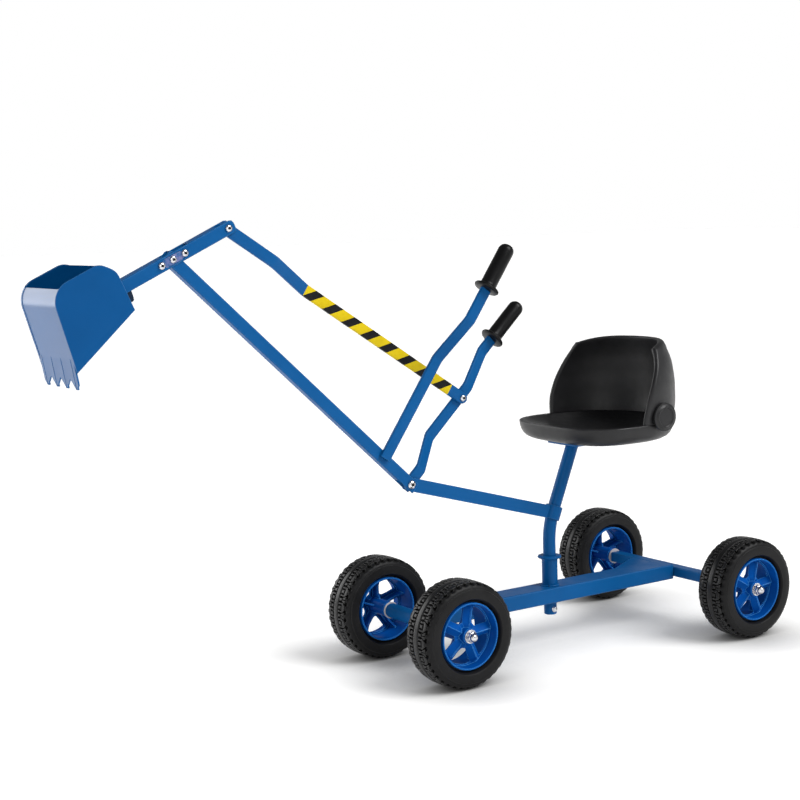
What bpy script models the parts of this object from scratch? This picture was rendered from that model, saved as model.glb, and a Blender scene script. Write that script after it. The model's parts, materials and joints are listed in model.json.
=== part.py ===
"""Toy excavator: a ride-on sand digger on four wheels.

Metres, +Z up, +X forward, +Y to the rider's left. The wheels stand on z = 0.
s is the distance forward of the swivel axis; x = X_SWIVEL + s.
"""
import math

import bmesh
import bpy
from mathutils import Matrix, Vector

# ---------------------------------------------------------------- dimensions
NAME = "toy_excavator"
GAP = 0.0003                    # air between neighbouring pieces
SLOT_EASE = 0.0001              # a clevis slot is this much wider than the bore it meets

X_SWIVEL = -0.24175             # swivel axis, from the middle of the length

# wheels and axles
WHEEL_R = 0.0775
WHEEL_W = 0.060
BEAD_R = 0.0487                 # tyre bore
RIM_R = BEAD_R - GAP
RIM_WALL = 0.0032
WEB_Y = 0.012                   # spoke plane, outward of the wheel's middle
HUB_R = 0.0115
AXLE_R = 0.005
HUB_BORE_R = AXLE_R + GAP
LUGS = 24
S_FRONT = 0.2525                # front axle, forward of the swivel
S_REAR = -0.2535
HALF_TRACK_FRONT = 0.105
HALF_TRACK_REAR = 0.1685

# chassis
BEAM_W = 0.0436
BEAM_Z0 = 0.0657
BEAM_Z1 = 0.0898
BEAM_WALL = 0.0016
FRONT_TUBE_R = 0.011
CROSSBAR_W = 0.020
CROSSBAR_H = 0.016
SOCKET_R = 0.01225
SOCKET_TOP = 0.1330
FLANGE_R = 0.0185
FLANGE_T = 0.0045

# seat post and support arm
POST_R = 0.00985
POST_WALL = 0.0015
POST_BOTTOM = 0.044
POST_BEND_Z = 0.185
POST_LEAN = math.radians(22.5)
POST_TOP = 0.3072
SLEEVE_R = 0.0130
SLEEVE_H = 0.0205
ARM_H = 0.020
ARM_W = 0.0106
ARM_WALL = 0.0012
ARM_SLOT = 0.045                # clevis length, back from the base pivot

# pivots of the digging gear, in the rest pose: (s, z)
PIVOT_BASE = (0.2613, 0.2804)
PIVOT_ROD = (0.1401, 0.3938)
PIVOT_ELBOW = (0.6286, 0.6219)
PIVOT_TOP = (0.5454, 0.6599)
SLEEVE_AT = (-0.0078, 0.2038)

# boom
BOOM_H = 0.0175
BOOM_W = 0.0140
BOOM_WALL = 0.0014
BOOM_TAIL = 0.0110              # past the base pivot
BOOM_NOSE = 0.0105              # past the elbow pivot
BOOM_SLOT = 0.0220

# dipper
DIPPER_H = 0.0180
DIPPER_W = 0.0174
DIPPER_WALL = 0.0014
DIPPER_TAIL = 0.0110            # past the top pivot
STOP_BOLT_PITCH = 0.0187

# flat bars: levers and link rod
BAR_W = 0.0172
BAR_T = 0.0060
LEVER_LEFT_FOOT = (0.3092, 0.3236)
LEVER_LEFT_ANGLE = math.radians(125.2)
LEVER_LEFT_Y = BOOM_W / 2 + GAP + BAR_T / 2
LEVER_LEFT_JOG = (0.168, 0.235, 0.030)          # start, end, sideways shift
LEVER_LEFT_GRIP = (0.287, 0.077)                # flange station, length
LEVER_RIGHT_JOGS = ((0.030, 0.0876, -0.0367), (0.1886, 0.2585, -0.0300))
LEVER_RIGHT_GRIP = (0.284, 0.077)
ROD_JOG = (0.0873, 0.1642, -0.0302)
ROD_EYE_R = 0.0072              # wide eye, lets the coupled rod float on its bolt

# bucket
BUCKET_W = 0.110
BUCKET_PLATE = 0.0020
BUCKET_OUTLINE = [(0.7894, 0.4881), (0.8153, 0.5768), (0.8081, 0.5972), (0.7540, 0.6222),
                  (0.7308, 0.6120), (0.7081, 0.5622)]
BUCKET_RADII = [0.0, 0.016, 0.016, 0.020, 0.016, 0.0]
LIP_TIP = (0.7868, 0.4662)
TOOTH_PITCH = 0.031
TOOTH_DEPTH = 0.0107

# seat
SEAT_BOTTOM = 0.3120
PAN_TOP = 0.3410                # rim that the back stands on
PAN_FRONT = 0.1120              # pan's front edge, ahead of the back's centre
BACK_S = -0.1080
BACK_A = 0.1170                 # plan half-axis along s
BACK_B = 0.1190                 # plan half-axis across
BACK_TOP = 0.4660
BACK_WALL = 0.0085
BOSS = (-0.1330, 0.3520, 0.0220)


# ---------------------------------------------------------------- helpers
def clear_scene():
    for obj in list(bpy.data.objects):
        bpy.data.objects.remove(obj, do_unlink=True)


def collection(name):
    col = bpy.data.collections.new(name)
    bpy.context.scene.collection.children.link(col)
    return col


def paint(name, rgb, rough, metal=0.0):
    mat = bpy.data.materials.new(name)
    mat.use_nodes = True
    mat.diffuse_color = (*rgb, 1.0)
    bsdf = mat.node_tree.nodes["Principled BSDF"]
    bsdf.inputs["Base Color"].default_value = (*rgb, 1.0)
    bsdf.inputs["Roughness"].default_value = rough
    bsdf.inputs["Metallic"].default_value = metal
    return mat


COLOURS = {
    "blue": ((0.010, 0.100, 0.360), 0.35, 0.0),
    "rim": ((0.005, 0.070, 0.480), 0.35, 0.0),
    "rubber": ((0.020, 0.020, 0.022), 0.75, 0.0),
    "plastic": ((0.025, 0.025, 0.028), 0.45, 0.0),
    "steel": ((0.600, 0.600, 0.620), 0.25, 1.0),
    "grey": ((0.220, 0.220, 0.230), 0.55, 0.0),
    "stripe": ((0.760, 0.600, 0.020), 0.40, 0.0),
}


def world_of(empty):
    here = Vector(empty.location)
    while empty.parent:
        empty = empty.parent
        here += empty.location
    return here


def empty(name, at, parent=None):
    obj = bpy.data.objects.new(name, None)
    obj.empty_display_size = 0.03
    PARTS.objects.link(obj)
    obj.parent = parent
    obj.location = Vector(at) - (world_of(parent) if parent else Vector())
    return obj


def from_bmesh(name, bm, target):
    bmesh.ops.recalc_face_normals(bm, faces=bm.faces)
    mesh = bpy.data.meshes.new(name)
    bm.to_mesh(mesh)
    bm.free()
    obj = bpy.data.objects.new(name, mesh)
    target.objects.link(obj)
    return obj


def node(obj, colour, parent, smooth=False):
    """Finish a piece: its own material, and its place under its group's empty."""
    rgb, rough, metal = COLOURS[colour]
    obj.data.materials.append(paint(obj.name + "_mat", rgb, rough, metal))
    obj.parent = parent
    obj.location = obj.location - world_of(parent)
    if smooth:
        obj.data.shade_smooth()
    return obj


def cutter(bm, name):
    obj = from_bmesh(name, bm, CUTTERS)
    obj.hide_render = True
    obj.display_type = "WIRE"
    return obj


def boolean(obj, other, operation="DIFFERENCE"):
    mod = obj.modifiers.new(other.name, "BOOLEAN")
    mod.operation = operation
    mod.solver = "EXACT"
    mod.object = other


def bevel(obj, width, segments=1, angle=40.0):
    mod = obj.modifiers.new("edge", "BEVEL")
    mod.width = width
    mod.segments = segments
    mod.limit_method = "ANGLE"
    mod.angle_limit = math.radians(angle)


def at(s, y, z):
    return Vector((X_SWIVEL + s, y, z))


def loft(rings, closed=False):
    """Skin a list of equal rings of points; closed joins the last ring to the first."""
    bm = bmesh.new()
    rows = [[bm.verts.new(p) for p in ring] for ring in rings]
    count = len(rows[0])
    last = len(rows) if closed else len(rows) - 1
    for i in range(last):
        row, nxt = rows[i], rows[(i + 1) % len(rows)]
        for j in range(count):
            k = (j + 1) % count
            bm.faces.new((row[j], row[k], nxt[k], nxt[j]))
    if not closed:
        bm.faces.new(rows[0])
        bm.faces.new(rows[-1])
    return bm


def prism(outline, y0, y1):
    """A plate: an outline of (s, z) points between two y planes."""
    return loft([[at(s, y, z) for s, z in outline] for y in (y0, y1)])


def frame(origin, angle):
    """Maps (along, across) in the side plane to (s, z)."""
    c, n = math.cos(angle), math.sin(angle)

    def place(u, v):
        return (origin[0] + u * c - v * n, origin[1] + u * n + v * c)

    return place


def bar_box(place, u0, u1, v0, v1, y0, y1):
    return prism([place(u0, v0), place(u1, v0), place(u1, v1), place(u0, v1)], y0, y1)


def round_corners(points, radii, steps=3):
    """Round an open or closed outline; a radius of 0 keeps the corner."""
    out = []
    count = len(points)
    for i, (p, r) in enumerate(zip(points, radii)):
        here = Vector(p)
        if r == 0.0:
            out.append(tuple(here))
            continue
        before = (Vector(points[i - 1]) - here).normalized()
        after = (Vector(points[(i + 1) % count]) - here).normalized()
        half = before.angle(after) / 2
        reach = r / math.tan(half)
        centre = here + (before + after).normalized() * r / math.sin(half)
        start = here + before * reach - centre
        end = here + after * reach - centre
        sweep = start.angle_signed(end)
        for k in range(steps + 1):
            a = -sweep * k / steps
            spoke = Vector((start.x * math.cos(a) - start.y * math.sin(a),
                            start.x * math.sin(a) + start.y * math.cos(a)))
            out.append(tuple(centre + spoke))
    return out


def turned(name, profile, centre, axis, target, segments=16):
    """A turned piece: (radius, height) points spun about an axis through centre."""
    bm = bmesh.new()
    verts = [bm.verts.new((r, 0.0, h)) for r, h in profile]
    for a, b in zip(verts, verts[1:]):
        bm.edges.new((a, b))
    mesh = bpy.data.meshes.new(name)
    bm.to_mesh(mesh)
    bm.free()
    obj = bpy.data.objects.new(name, mesh)
    target.objects.link(obj)
    screw = obj.modifiers.new("turn", "SCREW")
    screw.steps = segments
    screw.render_steps = segments
    screw.use_merge_vertices = True
    screw.merge_threshold = 0.00001
    turn = Vector((0, 0, 1)).rotation_difference(Vector(axis))
    obj.data.transform(Matrix())
    obj.rotation_mode = "QUATERNION"
    obj.rotation_quaternion = turn
    obj.location = centre
    return obj


def rod_bm(path, radius, segments=16):
    """A solid round rod along a path in the side plane."""
    rings = []
    for i, (s, z) in enumerate(path):
        a = Vector(path[max(i - 1, 0)])
        b = Vector(path[min(i + 1, len(path) - 1)])
        d = (b - a).normalized()
        side = Vector((-d.y, d.x))
        ring = []
        for k in range(segments):
            t = 2 * math.pi * (k + 0.5) / segments
            off = side * (radius * math.cos(t))
            ring.append(at(s + off.x, radius * math.sin(t), z + off.y))
        rings.append(ring)
    return loft(rings)


def cylinder_y(centre, radius, y0, y1, segments=12):
    """A round pin along y at (s, z)."""
    outline = []
    for k in range(segments):
        t = 2 * math.pi * (k + 0.5) / segments
        outline.append((centre[0] + radius * math.cos(t), centre[1] + radius * math.sin(t)))
    return prism(outline, y0, y1)


def hole_y(obj, centre, radius, half=0.08, y=0.0, segments=12):
    boolean(obj, cutter(cylinder_y(centre, radius, y - half, y + half, segments),
                        "hole_" + obj.name + "_%d" % len(obj.modifiers)))


def shift_at(station, jogs, start=0.0):
    """Sideways position of a joggled bar at a station along it."""
    y = start
    for u0, u1, dy in jogs:
        y += dy * min(max((station - u0) / (u1 - u0), 0.0), 1.0)
    return y


def joggled_bar(place, u0, u1, y, jogs, round_start=False, round_end=False, steps=4):
    """A flat bar along u with sideways joggles and optional round ends."""
    half = BAR_W / 2
    stations = [(u0, half), (u1, half)]
    for a, b, _ in jogs:
        stations += [(a, half), (b, half)]
    if round_start:
        stations += [(u0 - half * math.cos(t), half * math.sin(t))
                     for t in [math.pi / 2 * (k + 0.4) / steps for k in range(steps)]]
    if round_end:
        stations += [(u1 + half * math.cos(t), half * math.sin(t))
                     for t in [math.pi / 2 * (k + 0.4) / steps for k in range(steps)]]
    rings = []
    for u, h in sorted(stations):
        mid = shift_at(u, jogs, y)
        a, b = place(u, -h), place(u, h)
        rings.append([at(a[0], mid - BAR_T / 2, a[1]), at(b[0], mid - BAR_T / 2, b[1]),
                      at(b[0], mid + BAR_T / 2, b[1]), at(a[0], mid + BAR_T / 2, a[1])])
    return loft(rings)


def bolt(name, centre, y_head, y_end, parent, shaft=0.0030, head=0.0050, dome=0.0034):
    """A dome-headed bolt, head on the left side."""
    length = y_head - y_end
    profile = [(0.0, dome), (head * 0.60, dome * 0.82), (head, 0.0008), (head, 0.0), (shaft, 0.0),
               (shaft, -length), (0.0, -length)]
    obj = turned(name, profile, at(centre[0], y_head, centre[1]), (0, 1, 0), PARTS, 12)
    return node(obj, "steel", parent, True)


def nut(name, centre, y_face, parent, bore=0.0030, across=0.0100, thick=0.0045, side=-1):
    """A hex nut whose inner face lies on y_face; side is the way it points."""
    radius = across / 2 / math.cos(math.pi / 6)
    bm = cylinder_y(centre, radius, y_face, y_face + side * thick, 6)
    obj = from_bmesh(name, bm, PARTS)
    hole_y(obj, centre, bore + GAP, half=0.012, y=y_face)
    return node(obj, "steel", parent)


# ---------------------------------------------------------------- wheels
def tyre(name, s, y, parent):
    """A ring whose shoulders alternate lug and groove."""
    half = WHEEL_W / 2
    flat = WHEEL_R / math.cos(math.pi / LUGS)
    profile = [(-half + 0.0036, BEAD_R, BEAD_R), (-half, 0.0560, 0.0560), (-half, 0.0690, 0.0690),
               (-half + 0.0040, 0.0752, 0.0728), (-0.0110, flat, flat - 0.0010)]
    profile += [(-w, lug, groove) for w, lug, groove in reversed(profile)]
    rings = []
    for k in range(2 * LUGS):
        t = math.pi * (k + 1) / LUGS
        ring = []
        for w, lug, groove in profile:
            r = groove if k % 2 else lug
            ring.append(at(s + r * math.sin(t), y + w, WHEEL_R - r * math.cos(t)))
        rings.append(ring)
    obj = from_bmesh(name, loft(rings, closed=True), PARTS)
    return node(obj, "rubber", parent)


def rim(name, s, y, side, parent):
    """Barrel, spoked web and hub in one moulding; side is the outward way."""
    edge = WHEEL_W / 2 - 0.0038
    inner = RIM_R - RIM_WALL
    t = 0.0030
    profile = [(HUB_BORE_R, 0.0250), (HUB_R, 0.0250), (HUB_R, WEB_Y + t), (inner - 0.001, WEB_Y + t),
               (inner, edge), (RIM_R, edge), (RIM_R, -edge), (inner, -edge), (inner - 0.001, WEB_Y - t),
               (HUB_R, WEB_Y - t), (HUB_R, -0.0300), (HUB_BORE_R, -0.0300), (HUB_BORE_R, 0.0250)]
    obj = turned(name, profile, at(s, y, WHEEL_R), (0, side, 0), PARTS, 25)
    for k in range(5):
        mid = math.radians(90 + 72 * k + 36)
        wide, narrow = math.radians(25), math.radians(19)
        outline = []
        for r, spread in ((inner - 0.0022, wide), (HUB_R + 0.0075, narrow)):
            arc = [mid + spread * f for f in (-1.0, 0.0, 1.0)]
            if r < 0.03:
                arc = [mid + spread, mid - spread]
            outline += [(s + r * math.cos(a), WHEEL_R + r * math.sin(a)) for a in arc]
        mid_y = y + side * WEB_Y
        boolean(obj, cutter(prism(outline, mid_y - 0.008, mid_y + 0.008), "window_%s_%d" % (name, k)))
    return node(obj, "rim", parent, True)


def wheel(tag, s, half_track, side, root):
    y = side * half_track
    hub = empty("wheel_" + tag, at(s, y, WHEEL_R), root)
    tyre("tyre_" + tag, s, y, hub)
    rim("rim_" + tag, s, y, side, hub)
    face = y + side * 0.0250
    washer = [(AXLE_R + GAP, 0.0012), (0.0100, 0.0012), (0.0100, 0.0), (AXLE_R + GAP, 0.0),
              (AXLE_R + GAP, 0.0012)]
    node(turned("washer_" + tag, washer, at(s, face + side * GAP, WHEEL_R), (0, side, 0), PARTS, 14),
         "steel", root, True)
    seat = face + side * (0.0012 + 2 * GAP)
    cap = turned("acorn_nut_" + tag,
                 [(0.0, 0.0125), (0.0048, 0.0106), (0.0066, 0.0060), (0.0082, 0.0054),
                  (0.0082, 0.0), (AXLE_R + GAP, 0.0), (AXLE_R + GAP, 0.0070), (0.0, 0.0070)],
                 at(s, seat, WHEEL_R), (0, side, 0), PARTS, 12)
    node(cap, "steel", root, True)
    tube_end = y - side * 0.0300
    bush = [(AXLE_R + GAP, 0.0), (0.0085, 0.0), (0.0085, -0.0050), (AXLE_R + GAP, -0.0050),
            (AXLE_R + GAP, 0.0)]
    node(turned("hub_bush_" + tag, bush, at(s, tube_end - side * GAP, WHEEL_R), (0, side, 0), PARTS, 12),
         "grey", root, True)
    return seat + side * 0.0066


# ---------------------------------------------------------------- chassis
def build_chassis():
    root = empty("chassis", at(0.0, 0.0, WHEEL_R))
    tips = {}
    for tag, s, track, side in (("front_left", S_FRONT, HALF_TRACK_FRONT, 1),
                                ("front_right", S_FRONT, HALF_TRACK_FRONT, -1),
                                ("rear_left", S_REAR, HALF_TRACK_REAR, 1),
                                ("rear_right", S_REAR, HALF_TRACK_REAR, -1)):
        tips[tag] = wheel(tag, s, track, side, root)

    for tag, s in (("front", S_FRONT), ("rear", S_REAR)):
        bm = cylinder_y((s, WHEEL_R), AXLE_R, tips[tag + "_right"], tips[tag + "_left"])
        node(from_bmesh("axle_rod_" + tag, bm, PARTS), "steel", root, True)

    half = HALF_TRACK_FRONT - 0.0300 - 0.0050 - 2 * GAP
    tube = [(AXLE_R + GAP, half), (FRONT_TUBE_R, half), (FRONT_TUBE_R, -half), (AXLE_R + GAP, -half),
            (AXLE_R + GAP, half)]
    node(turned("front_axle_tube", tube, at(S_FRONT, 0, WHEEL_R), (0, 1, 0), PARTS, 20), "blue", root, True)

    half = HALF_TRACK_REAR - 0.0300 - 0.0050 - 2 * GAP
    z0, z1 = WHEEL_R - CROSSBAR_H / 2, WHEEL_R + CROSSBAR_H / 2
    s0, s1 = S_REAR - CROSSBAR_W / 2, S_REAR + CROSSBAR_W / 2
    bar = from_bmesh("rear_crossbar", prism([(s0, z0), (s1, z0), (s1, z1), (s0, z1)], -half, half), PARTS)
    bevel(bar, 0.0018, 2)
    boolean(bar, cutter(prism([(s0 + 0.0016, z0 + 0.0016), (s1 - 0.0016, z0 + 0.0016),
                               (s1 - 0.0016, z1 - 0.0016), (s0 + 0.0016, z1 - 0.0016)],
                              -half - 0.01, half + 0.01), "crossbar_bore"))
    node(bar, "blue", root)

    front, back = S_FRONT - FRONT_TUBE_R - GAP, s1 + GAP
    w = BEAM_W / 2
    beam = from_bmesh("main_beam", prism([(back, BEAM_Z0), (front, BEAM_Z0), (front, BEAM_Z1),
                                          (back, BEAM_Z1)], -w, w), PARTS)
    bevel(beam, 0.0022, 2)
    t = BEAM_WALL
    bore = prism([(back - 0.01, BEAM_Z0 + t), (front + 0.01, BEAM_Z0 + t), (front + 0.01, BEAM_Z1 - t),
                  (back - 0.01, BEAM_Z1 - t)], -w + t, w - t)
    boolean(beam, cutter(bore, "beam_bore"))
    boolean(beam, cutter(rod_bm([(0.0, 0.05), (0.0, 0.11)], SOCKET_R + GAP, 20), "socket_hole"))
    node(beam, "blue", root)

    z = BEAM_Z1 - 0.0040
    y0 = -w - GAP
    plate = loft([[at(back, y0, h), at(back, -0.072, h), at(back + 0.012, -0.072, h),
                   at(back + 0.100, y0, h)] for h in (z - 0.0030, z)])
    gusset = from_bmesh("gusset_plate", plate, PARTS)
    bevel(gusset, 0.0007)
    node(gusset, "blue", root)

    bore_r = POST_R + GAP
    top = SOCKET_TOP
    profile = [(bore_r, top + FLANGE_T), (FLANGE_R - 0.0015, top + FLANGE_T), (FLANGE_R, top + 0.0030),
               (FLANGE_R, top + 0.0012), (FLANGE_R - 0.0015, top), (SOCKET_R, top - 0.0030),
               (SOCKET_R, BEAM_Z0 - 0.0030), (bore_r, BEAM_Z0 - 0.0030), (bore_r, top + FLANGE_T)]
    node(turned("swivel_socket", profile, at(0, 0, 0), (0, 0, 1), PARTS, 20), "blue", root, True)
    return root


# ---------------------------------------------------------------- upper frame and seat
def post_path():
    lean = math.tan(POST_LEAN)
    path = [(0.0, POST_BOTTOM)]
    bend = 0.028
    for k in range(5):
        f = k / 4
        a = Vector((0.0, POST_BEND_Z - bend))
        m = Vector((0.0, POST_BEND_Z))
        b = m + Vector((-math.sin(POST_LEAN), math.cos(POST_LEAN))) * bend
        p = a.lerp(m, f).lerp(m.lerp(b, f), f)
        path.append((p.x, p.y))
    over = POST_TOP + 0.006
    path.append((-(over - POST_BEND_Z) * lean, over))
    return path


def build_upper(root):
    upper = empty("upper_frame", at(0.0, 0.0, BEAM_Z1), root)
    path = post_path()
    post = from_bmesh("seat_post", rod_bm(path, POST_R, 14), PARTS)
    inner = [(path[0][0], path[0][1] - 0.01)] + path + [(path[-1][0] - 0.01, path[-1][1] + 0.024)]
    boolean(post, cutter(rod_bm(inner, POST_R - POST_WALL, 10), "post_bore"))
    level = [(-0.09, POST_TOP), (-0.01, POST_TOP), (-0.01, POST_TOP + 0.03), (-0.09, POST_TOP + 0.03)]
    boolean(post, cutter(prism(level, -0.03, 0.03), "post_trim"))
    pin_z = 0.0530
    hole_y(post, (0.0, pin_z), 0.0030 + GAP)
    node(post, "blue", upper, True)
    bolt("retaining_pin", (0.0, pin_z), POST_R + GAP, -POST_R - 0.0035, upper)

    base = Vector(PIVOT_BASE)
    heel = Vector(SLEEVE_AT)
    angle = math.atan2(base.y - heel.y, base.x - heel.x)
    place = frame(PIVOT_BASE, angle)
    length = (base - heel).length
    half = ARM_H / 2
    nose = [(half * math.cos(t), half * math.sin(t)) for t in
            [math.radians(a) for a in (-90, -60, -30, 0, 30, 60, 90)]]
    outline = [place(-length, -half)] + [place(u, v) for u, v in nose] + [place(-length, half)]
    arm = from_bmesh("support_arm", prism(outline, -ARM_W / 2, ARM_W / 2), PARTS)
    lean = Vector((-math.sin(POST_LEAN), math.cos(POST_LEAN)))
    sleeve = [tuple(heel - lean * SLEEVE_H / 2), tuple(heel + lean * SLEEVE_H / 2)]
    boolean(arm, cutter(rod_bm(sleeve, SLEEVE_R, 20), "arm_sleeve"), "UNION")
    boolean(arm, cutter(rod_bm(path, POST_R + GAP, 16), "arm_post_bore"))
    y = ARM_W / 2 - ARM_WALL
    w = y + SLOT_EASE
    boolean(arm, cutter(bar_box(place, -ARM_SLOT, 0.03, -0.03, 0.03, -w, w), "arm_clevis"))
    v = half - ARM_WALL
    boolean(arm, cutter(bar_box(place, -length + SLEEVE_R + 0.004, 0.0, -v, v, -y, y), "arm_bore"))
    hole_y(arm, PIVOT_BASE, 0.0040 + GAP)
    node(arm, "blue", upper)
    bolt("base_pivot_bolt", PIVOT_BASE, BOOM_W / 2 + GAP, -BOOM_W / 2 - 0.0075, upper, 0.0040, 0.0064, 0.0042)
    nut("base_pivot_nut", PIVOT_BASE, -BOOM_W / 2 - GAP, upper, 0.0040, 0.0130, 0.0060)

    build_seat(upper)
    return upper


def build_seat(upper):
    top_s = -(POST_TOP - POST_BEND_Z) * math.tan(POST_LEAN)
    z1 = SEAT_BOTTOM - GAP
    z0 = POST_TOP + GAP
    plate = loft([[at(top_s - 0.060, -0.035, h), at(top_s + 0.022, -0.035, h),
                   at(top_s + 0.022, 0.035, h), at(top_s - 0.060, 0.035, h)] for h in (z0, z1)])
    seat_plate = from_bmesh("seat_plate", plate, PARTS)
    bevel(seat_plate, 0.0012)
    bolts = {"rear": top_s - 0.048, "front": top_s - 0.018}
    for tag, s in bolts.items():
        hole = rod_bm([(s, z0 - 0.01), (s, z1 + 0.01)], 0.0030 + GAP, 12)
        boolean(seat_plate, cutter(hole, "seat_plate_hole_" + tag))
    node(seat_plate, "blue", upper)

    pan = from_bmesh("seat_pan", seat_pan_bm(), PARTS)
    for tag, s in bolts.items():
        hole = rod_bm([(s, SEAT_BOTTOM - 0.01), (s, SEAT_BOTTOM + 0.009)], 0.0030 + GAP, 12)
        boolean(pan, cutter(hole, "seat_pan_hole_" + tag))
    node(pan, "plastic", upper, True)
    for tag, s in bolts.items():
        profile = [(0.0, 0.0130), (0.0030, 0.0130), (0.0030, 0.0), (0.0058, 0.0), (0.0058, -0.0035),
                   (0.0, -0.0035)]
        obj = turned("seat_bolt_" + tag, profile, at(s, 0.0, z0 - GAP), (0, 0, 1), PARTS, 12)
        node(obj, "steel", upper, True)

    back = from_bmesh("seat_back", seat_back_bm(), PARTS)
    node(back, "plastic", upper, True)
    for tag, side in (("left", 1), ("right", -1)):
        r = BOSS[2]
        profile = [(0.0, 0.0046), (r * 0.62, 0.0046), (r * 0.74, 0.0058), (r, 0.0038),
                   (r, 0.0), (0.0, 0.0)]
        y = side * (BACK_B + GAP)
        obj = turned("seat_boss_" + tag, profile, at(BOSS[0], y, BOSS[1]), (0, side, 0), PARTS, 20)
        node(obj, "plastic", upper, True)


def pan_outline(count):
    """Squarish in front, an ellipse behind, below the back."""
    points = []
    for k in range(count):
        t = 2 * math.pi * (k + 0.5) / count
        c, n = math.cos(t), math.sin(t)
        if c > 0:
            points.append((PAN_FRONT * c ** 0.62, BACK_B * math.copysign(abs(n) ** 0.62, n)))
        else:
            points.append((BACK_A * c, BACK_B * n))
    return points


def seat_pan_bm():
    """A shallow bowl with a flat bottom and a dished top."""
    rim = PAN_TOP - SEAT_BOTTOM
    shell = [(0.76, 0.000), (0.88, 0.0040), (0.945, 0.0120), (0.975, rim), (0.895, rim),
             (0.80, rim - 0.0050), (0.60, rim - 0.0105), (0.18, rim - 0.0125)]
    rings = []
    for scale, h in shell:
        rings.append([at(BACK_S + ds * scale, dy * scale, SEAT_BOTTOM + h)
                      for ds, dy in pan_outline(24)])
    return loft(rings)


def back_edge(z):
    """Plan angle of the back's front edges: furthest forward at the foot."""
    f = (z - PAN_TOP) / (BACK_TOP - PAN_TOP)
    return math.radians(93.0 - 27.0 * f * f * (1.6 - 0.6 * f))


def back_point(f, z, inset):
    t = f * back_edge(z)
    return at(BACK_S - (BACK_A - inset) * math.cos(t), (BACK_B - inset) * math.sin(t), z)


def seat_back_bm():
    """A shell curved round the sitter that bulges at mid height."""
    foot = PAN_TOP + GAP
    rings = []
    steps = 18
    for k in range(steps + 1):
        f = 2 * k / steps - 1
        rise = BACK_TOP - 0.010 * f ** 4 - foot
        outer = [(0.0, 0.0035), (0.22, 0.0), (0.50, 0.0005), (0.74, 0.0050), (0.91, 0.0130), (1.0, 0.0210)]
        ring = [back_point(f, foot + rise * h, d) for h, d in outer]
        ring += [back_point(f, foot + rise * h * 0.985, d + BACK_WALL) for h, d in reversed(outer)]
        rings.append(ring)
    return loft(rings)


# ---------------------------------------------------------------- digging gear
def build_boom(upper):
    boom_e = empty("boom_group", at(PIVOT_BASE[0], 0.0, PIVOT_BASE[1]), upper)
    base, elbow = Vector(PIVOT_BASE), Vector(PIVOT_ELBOW)
    reach = (elbow - base).length
    place = frame(PIVOT_BASE, math.atan2(elbow.y - base.y, elbow.x - base.x))
    h = BOOM_H / 2
    outline = round_corners([place(-BOOM_TAIL, -h), place(reach + BOOM_NOSE, -h),
                             place(reach + BOOM_NOSE, h), place(-BOOM_TAIL, h)],
                            [0.0012, 0.0055, 0.0055, 0.0035])
    boom = from_bmesh("boom", prism(outline, -BOOM_W / 2, BOOM_W / 2), PARTS)
    bevel(boom, 0.0012, 1, 60)
    y = BOOM_W / 2 - BOOM_WALL
    v = h - BOOM_WALL
    w = y + SLOT_EASE
    boolean(boom, cutter(bar_box(place, -0.03, reach + 0.03, -v, v, -y, y), "boom_bore"))
    boolean(boom, cutter(bar_box(place, -0.04, BOOM_SLOT, -0.03, 0.03, -w, w), "boom_clevis"))
    hole_y(boom, PIVOT_BASE, 0.0040 + GAP)
    hole_y(boom, PIVOT_ELBOW, 0.0030 + GAP)
    node(boom, "blue", boom_e)

    lever = frame(LEVER_LEFT_FOOT, LEVER_LEFT_ANGLE)
    station, length = LEVER_LEFT_GRIP
    bm = joggled_bar(lever, 0.0, station + length - 0.012, LEVER_LEFT_Y, [LEVER_LEFT_JOG])
    left = from_bmesh("left_lever", bm, PARTS)
    bevel(left, 0.0008, 1, 60)
    node(left, "blue", boom_e)
    grip("left_grip", lever, station, length, LEVER_LEFT_Y + LEVER_LEFT_JOG[2], boom_e)
    return boom_e


def grip(name, place, station, length, y, parent):
    """A moulded handle grip with a round guard flange at its foot."""
    foot = place(station, 0.0)
    tip = place(station + length, 0.0)
    d = Vector(tip) - Vector(foot)
    axis = Vector((d.x, 0.0, d.y)).normalized()
    r = 0.0120
    profile = [(0.0, length), (r * 0.72, length - 0.0018), (r, length - 0.0090), (r, 0.0085),
               (0.0185, 0.0065), (0.0190, 0.0030), (0.0165, 0.0), (0.0, 0.0)]
    obj = turned(name, profile, at(foot[0], y, foot[1]), axis, PARTS, 16)
    w = BAR_W / 2 + GAP
    pocket = bar_box(place, station - 0.01, station + length - 0.012 + GAP, -w, w,
                     y - BAR_T / 2 - GAP, y + BAR_T / 2 + GAP)
    boolean(obj, cutter(pocket, name + "_pocket"))
    node(obj, "plastic", parent, True)


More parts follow.
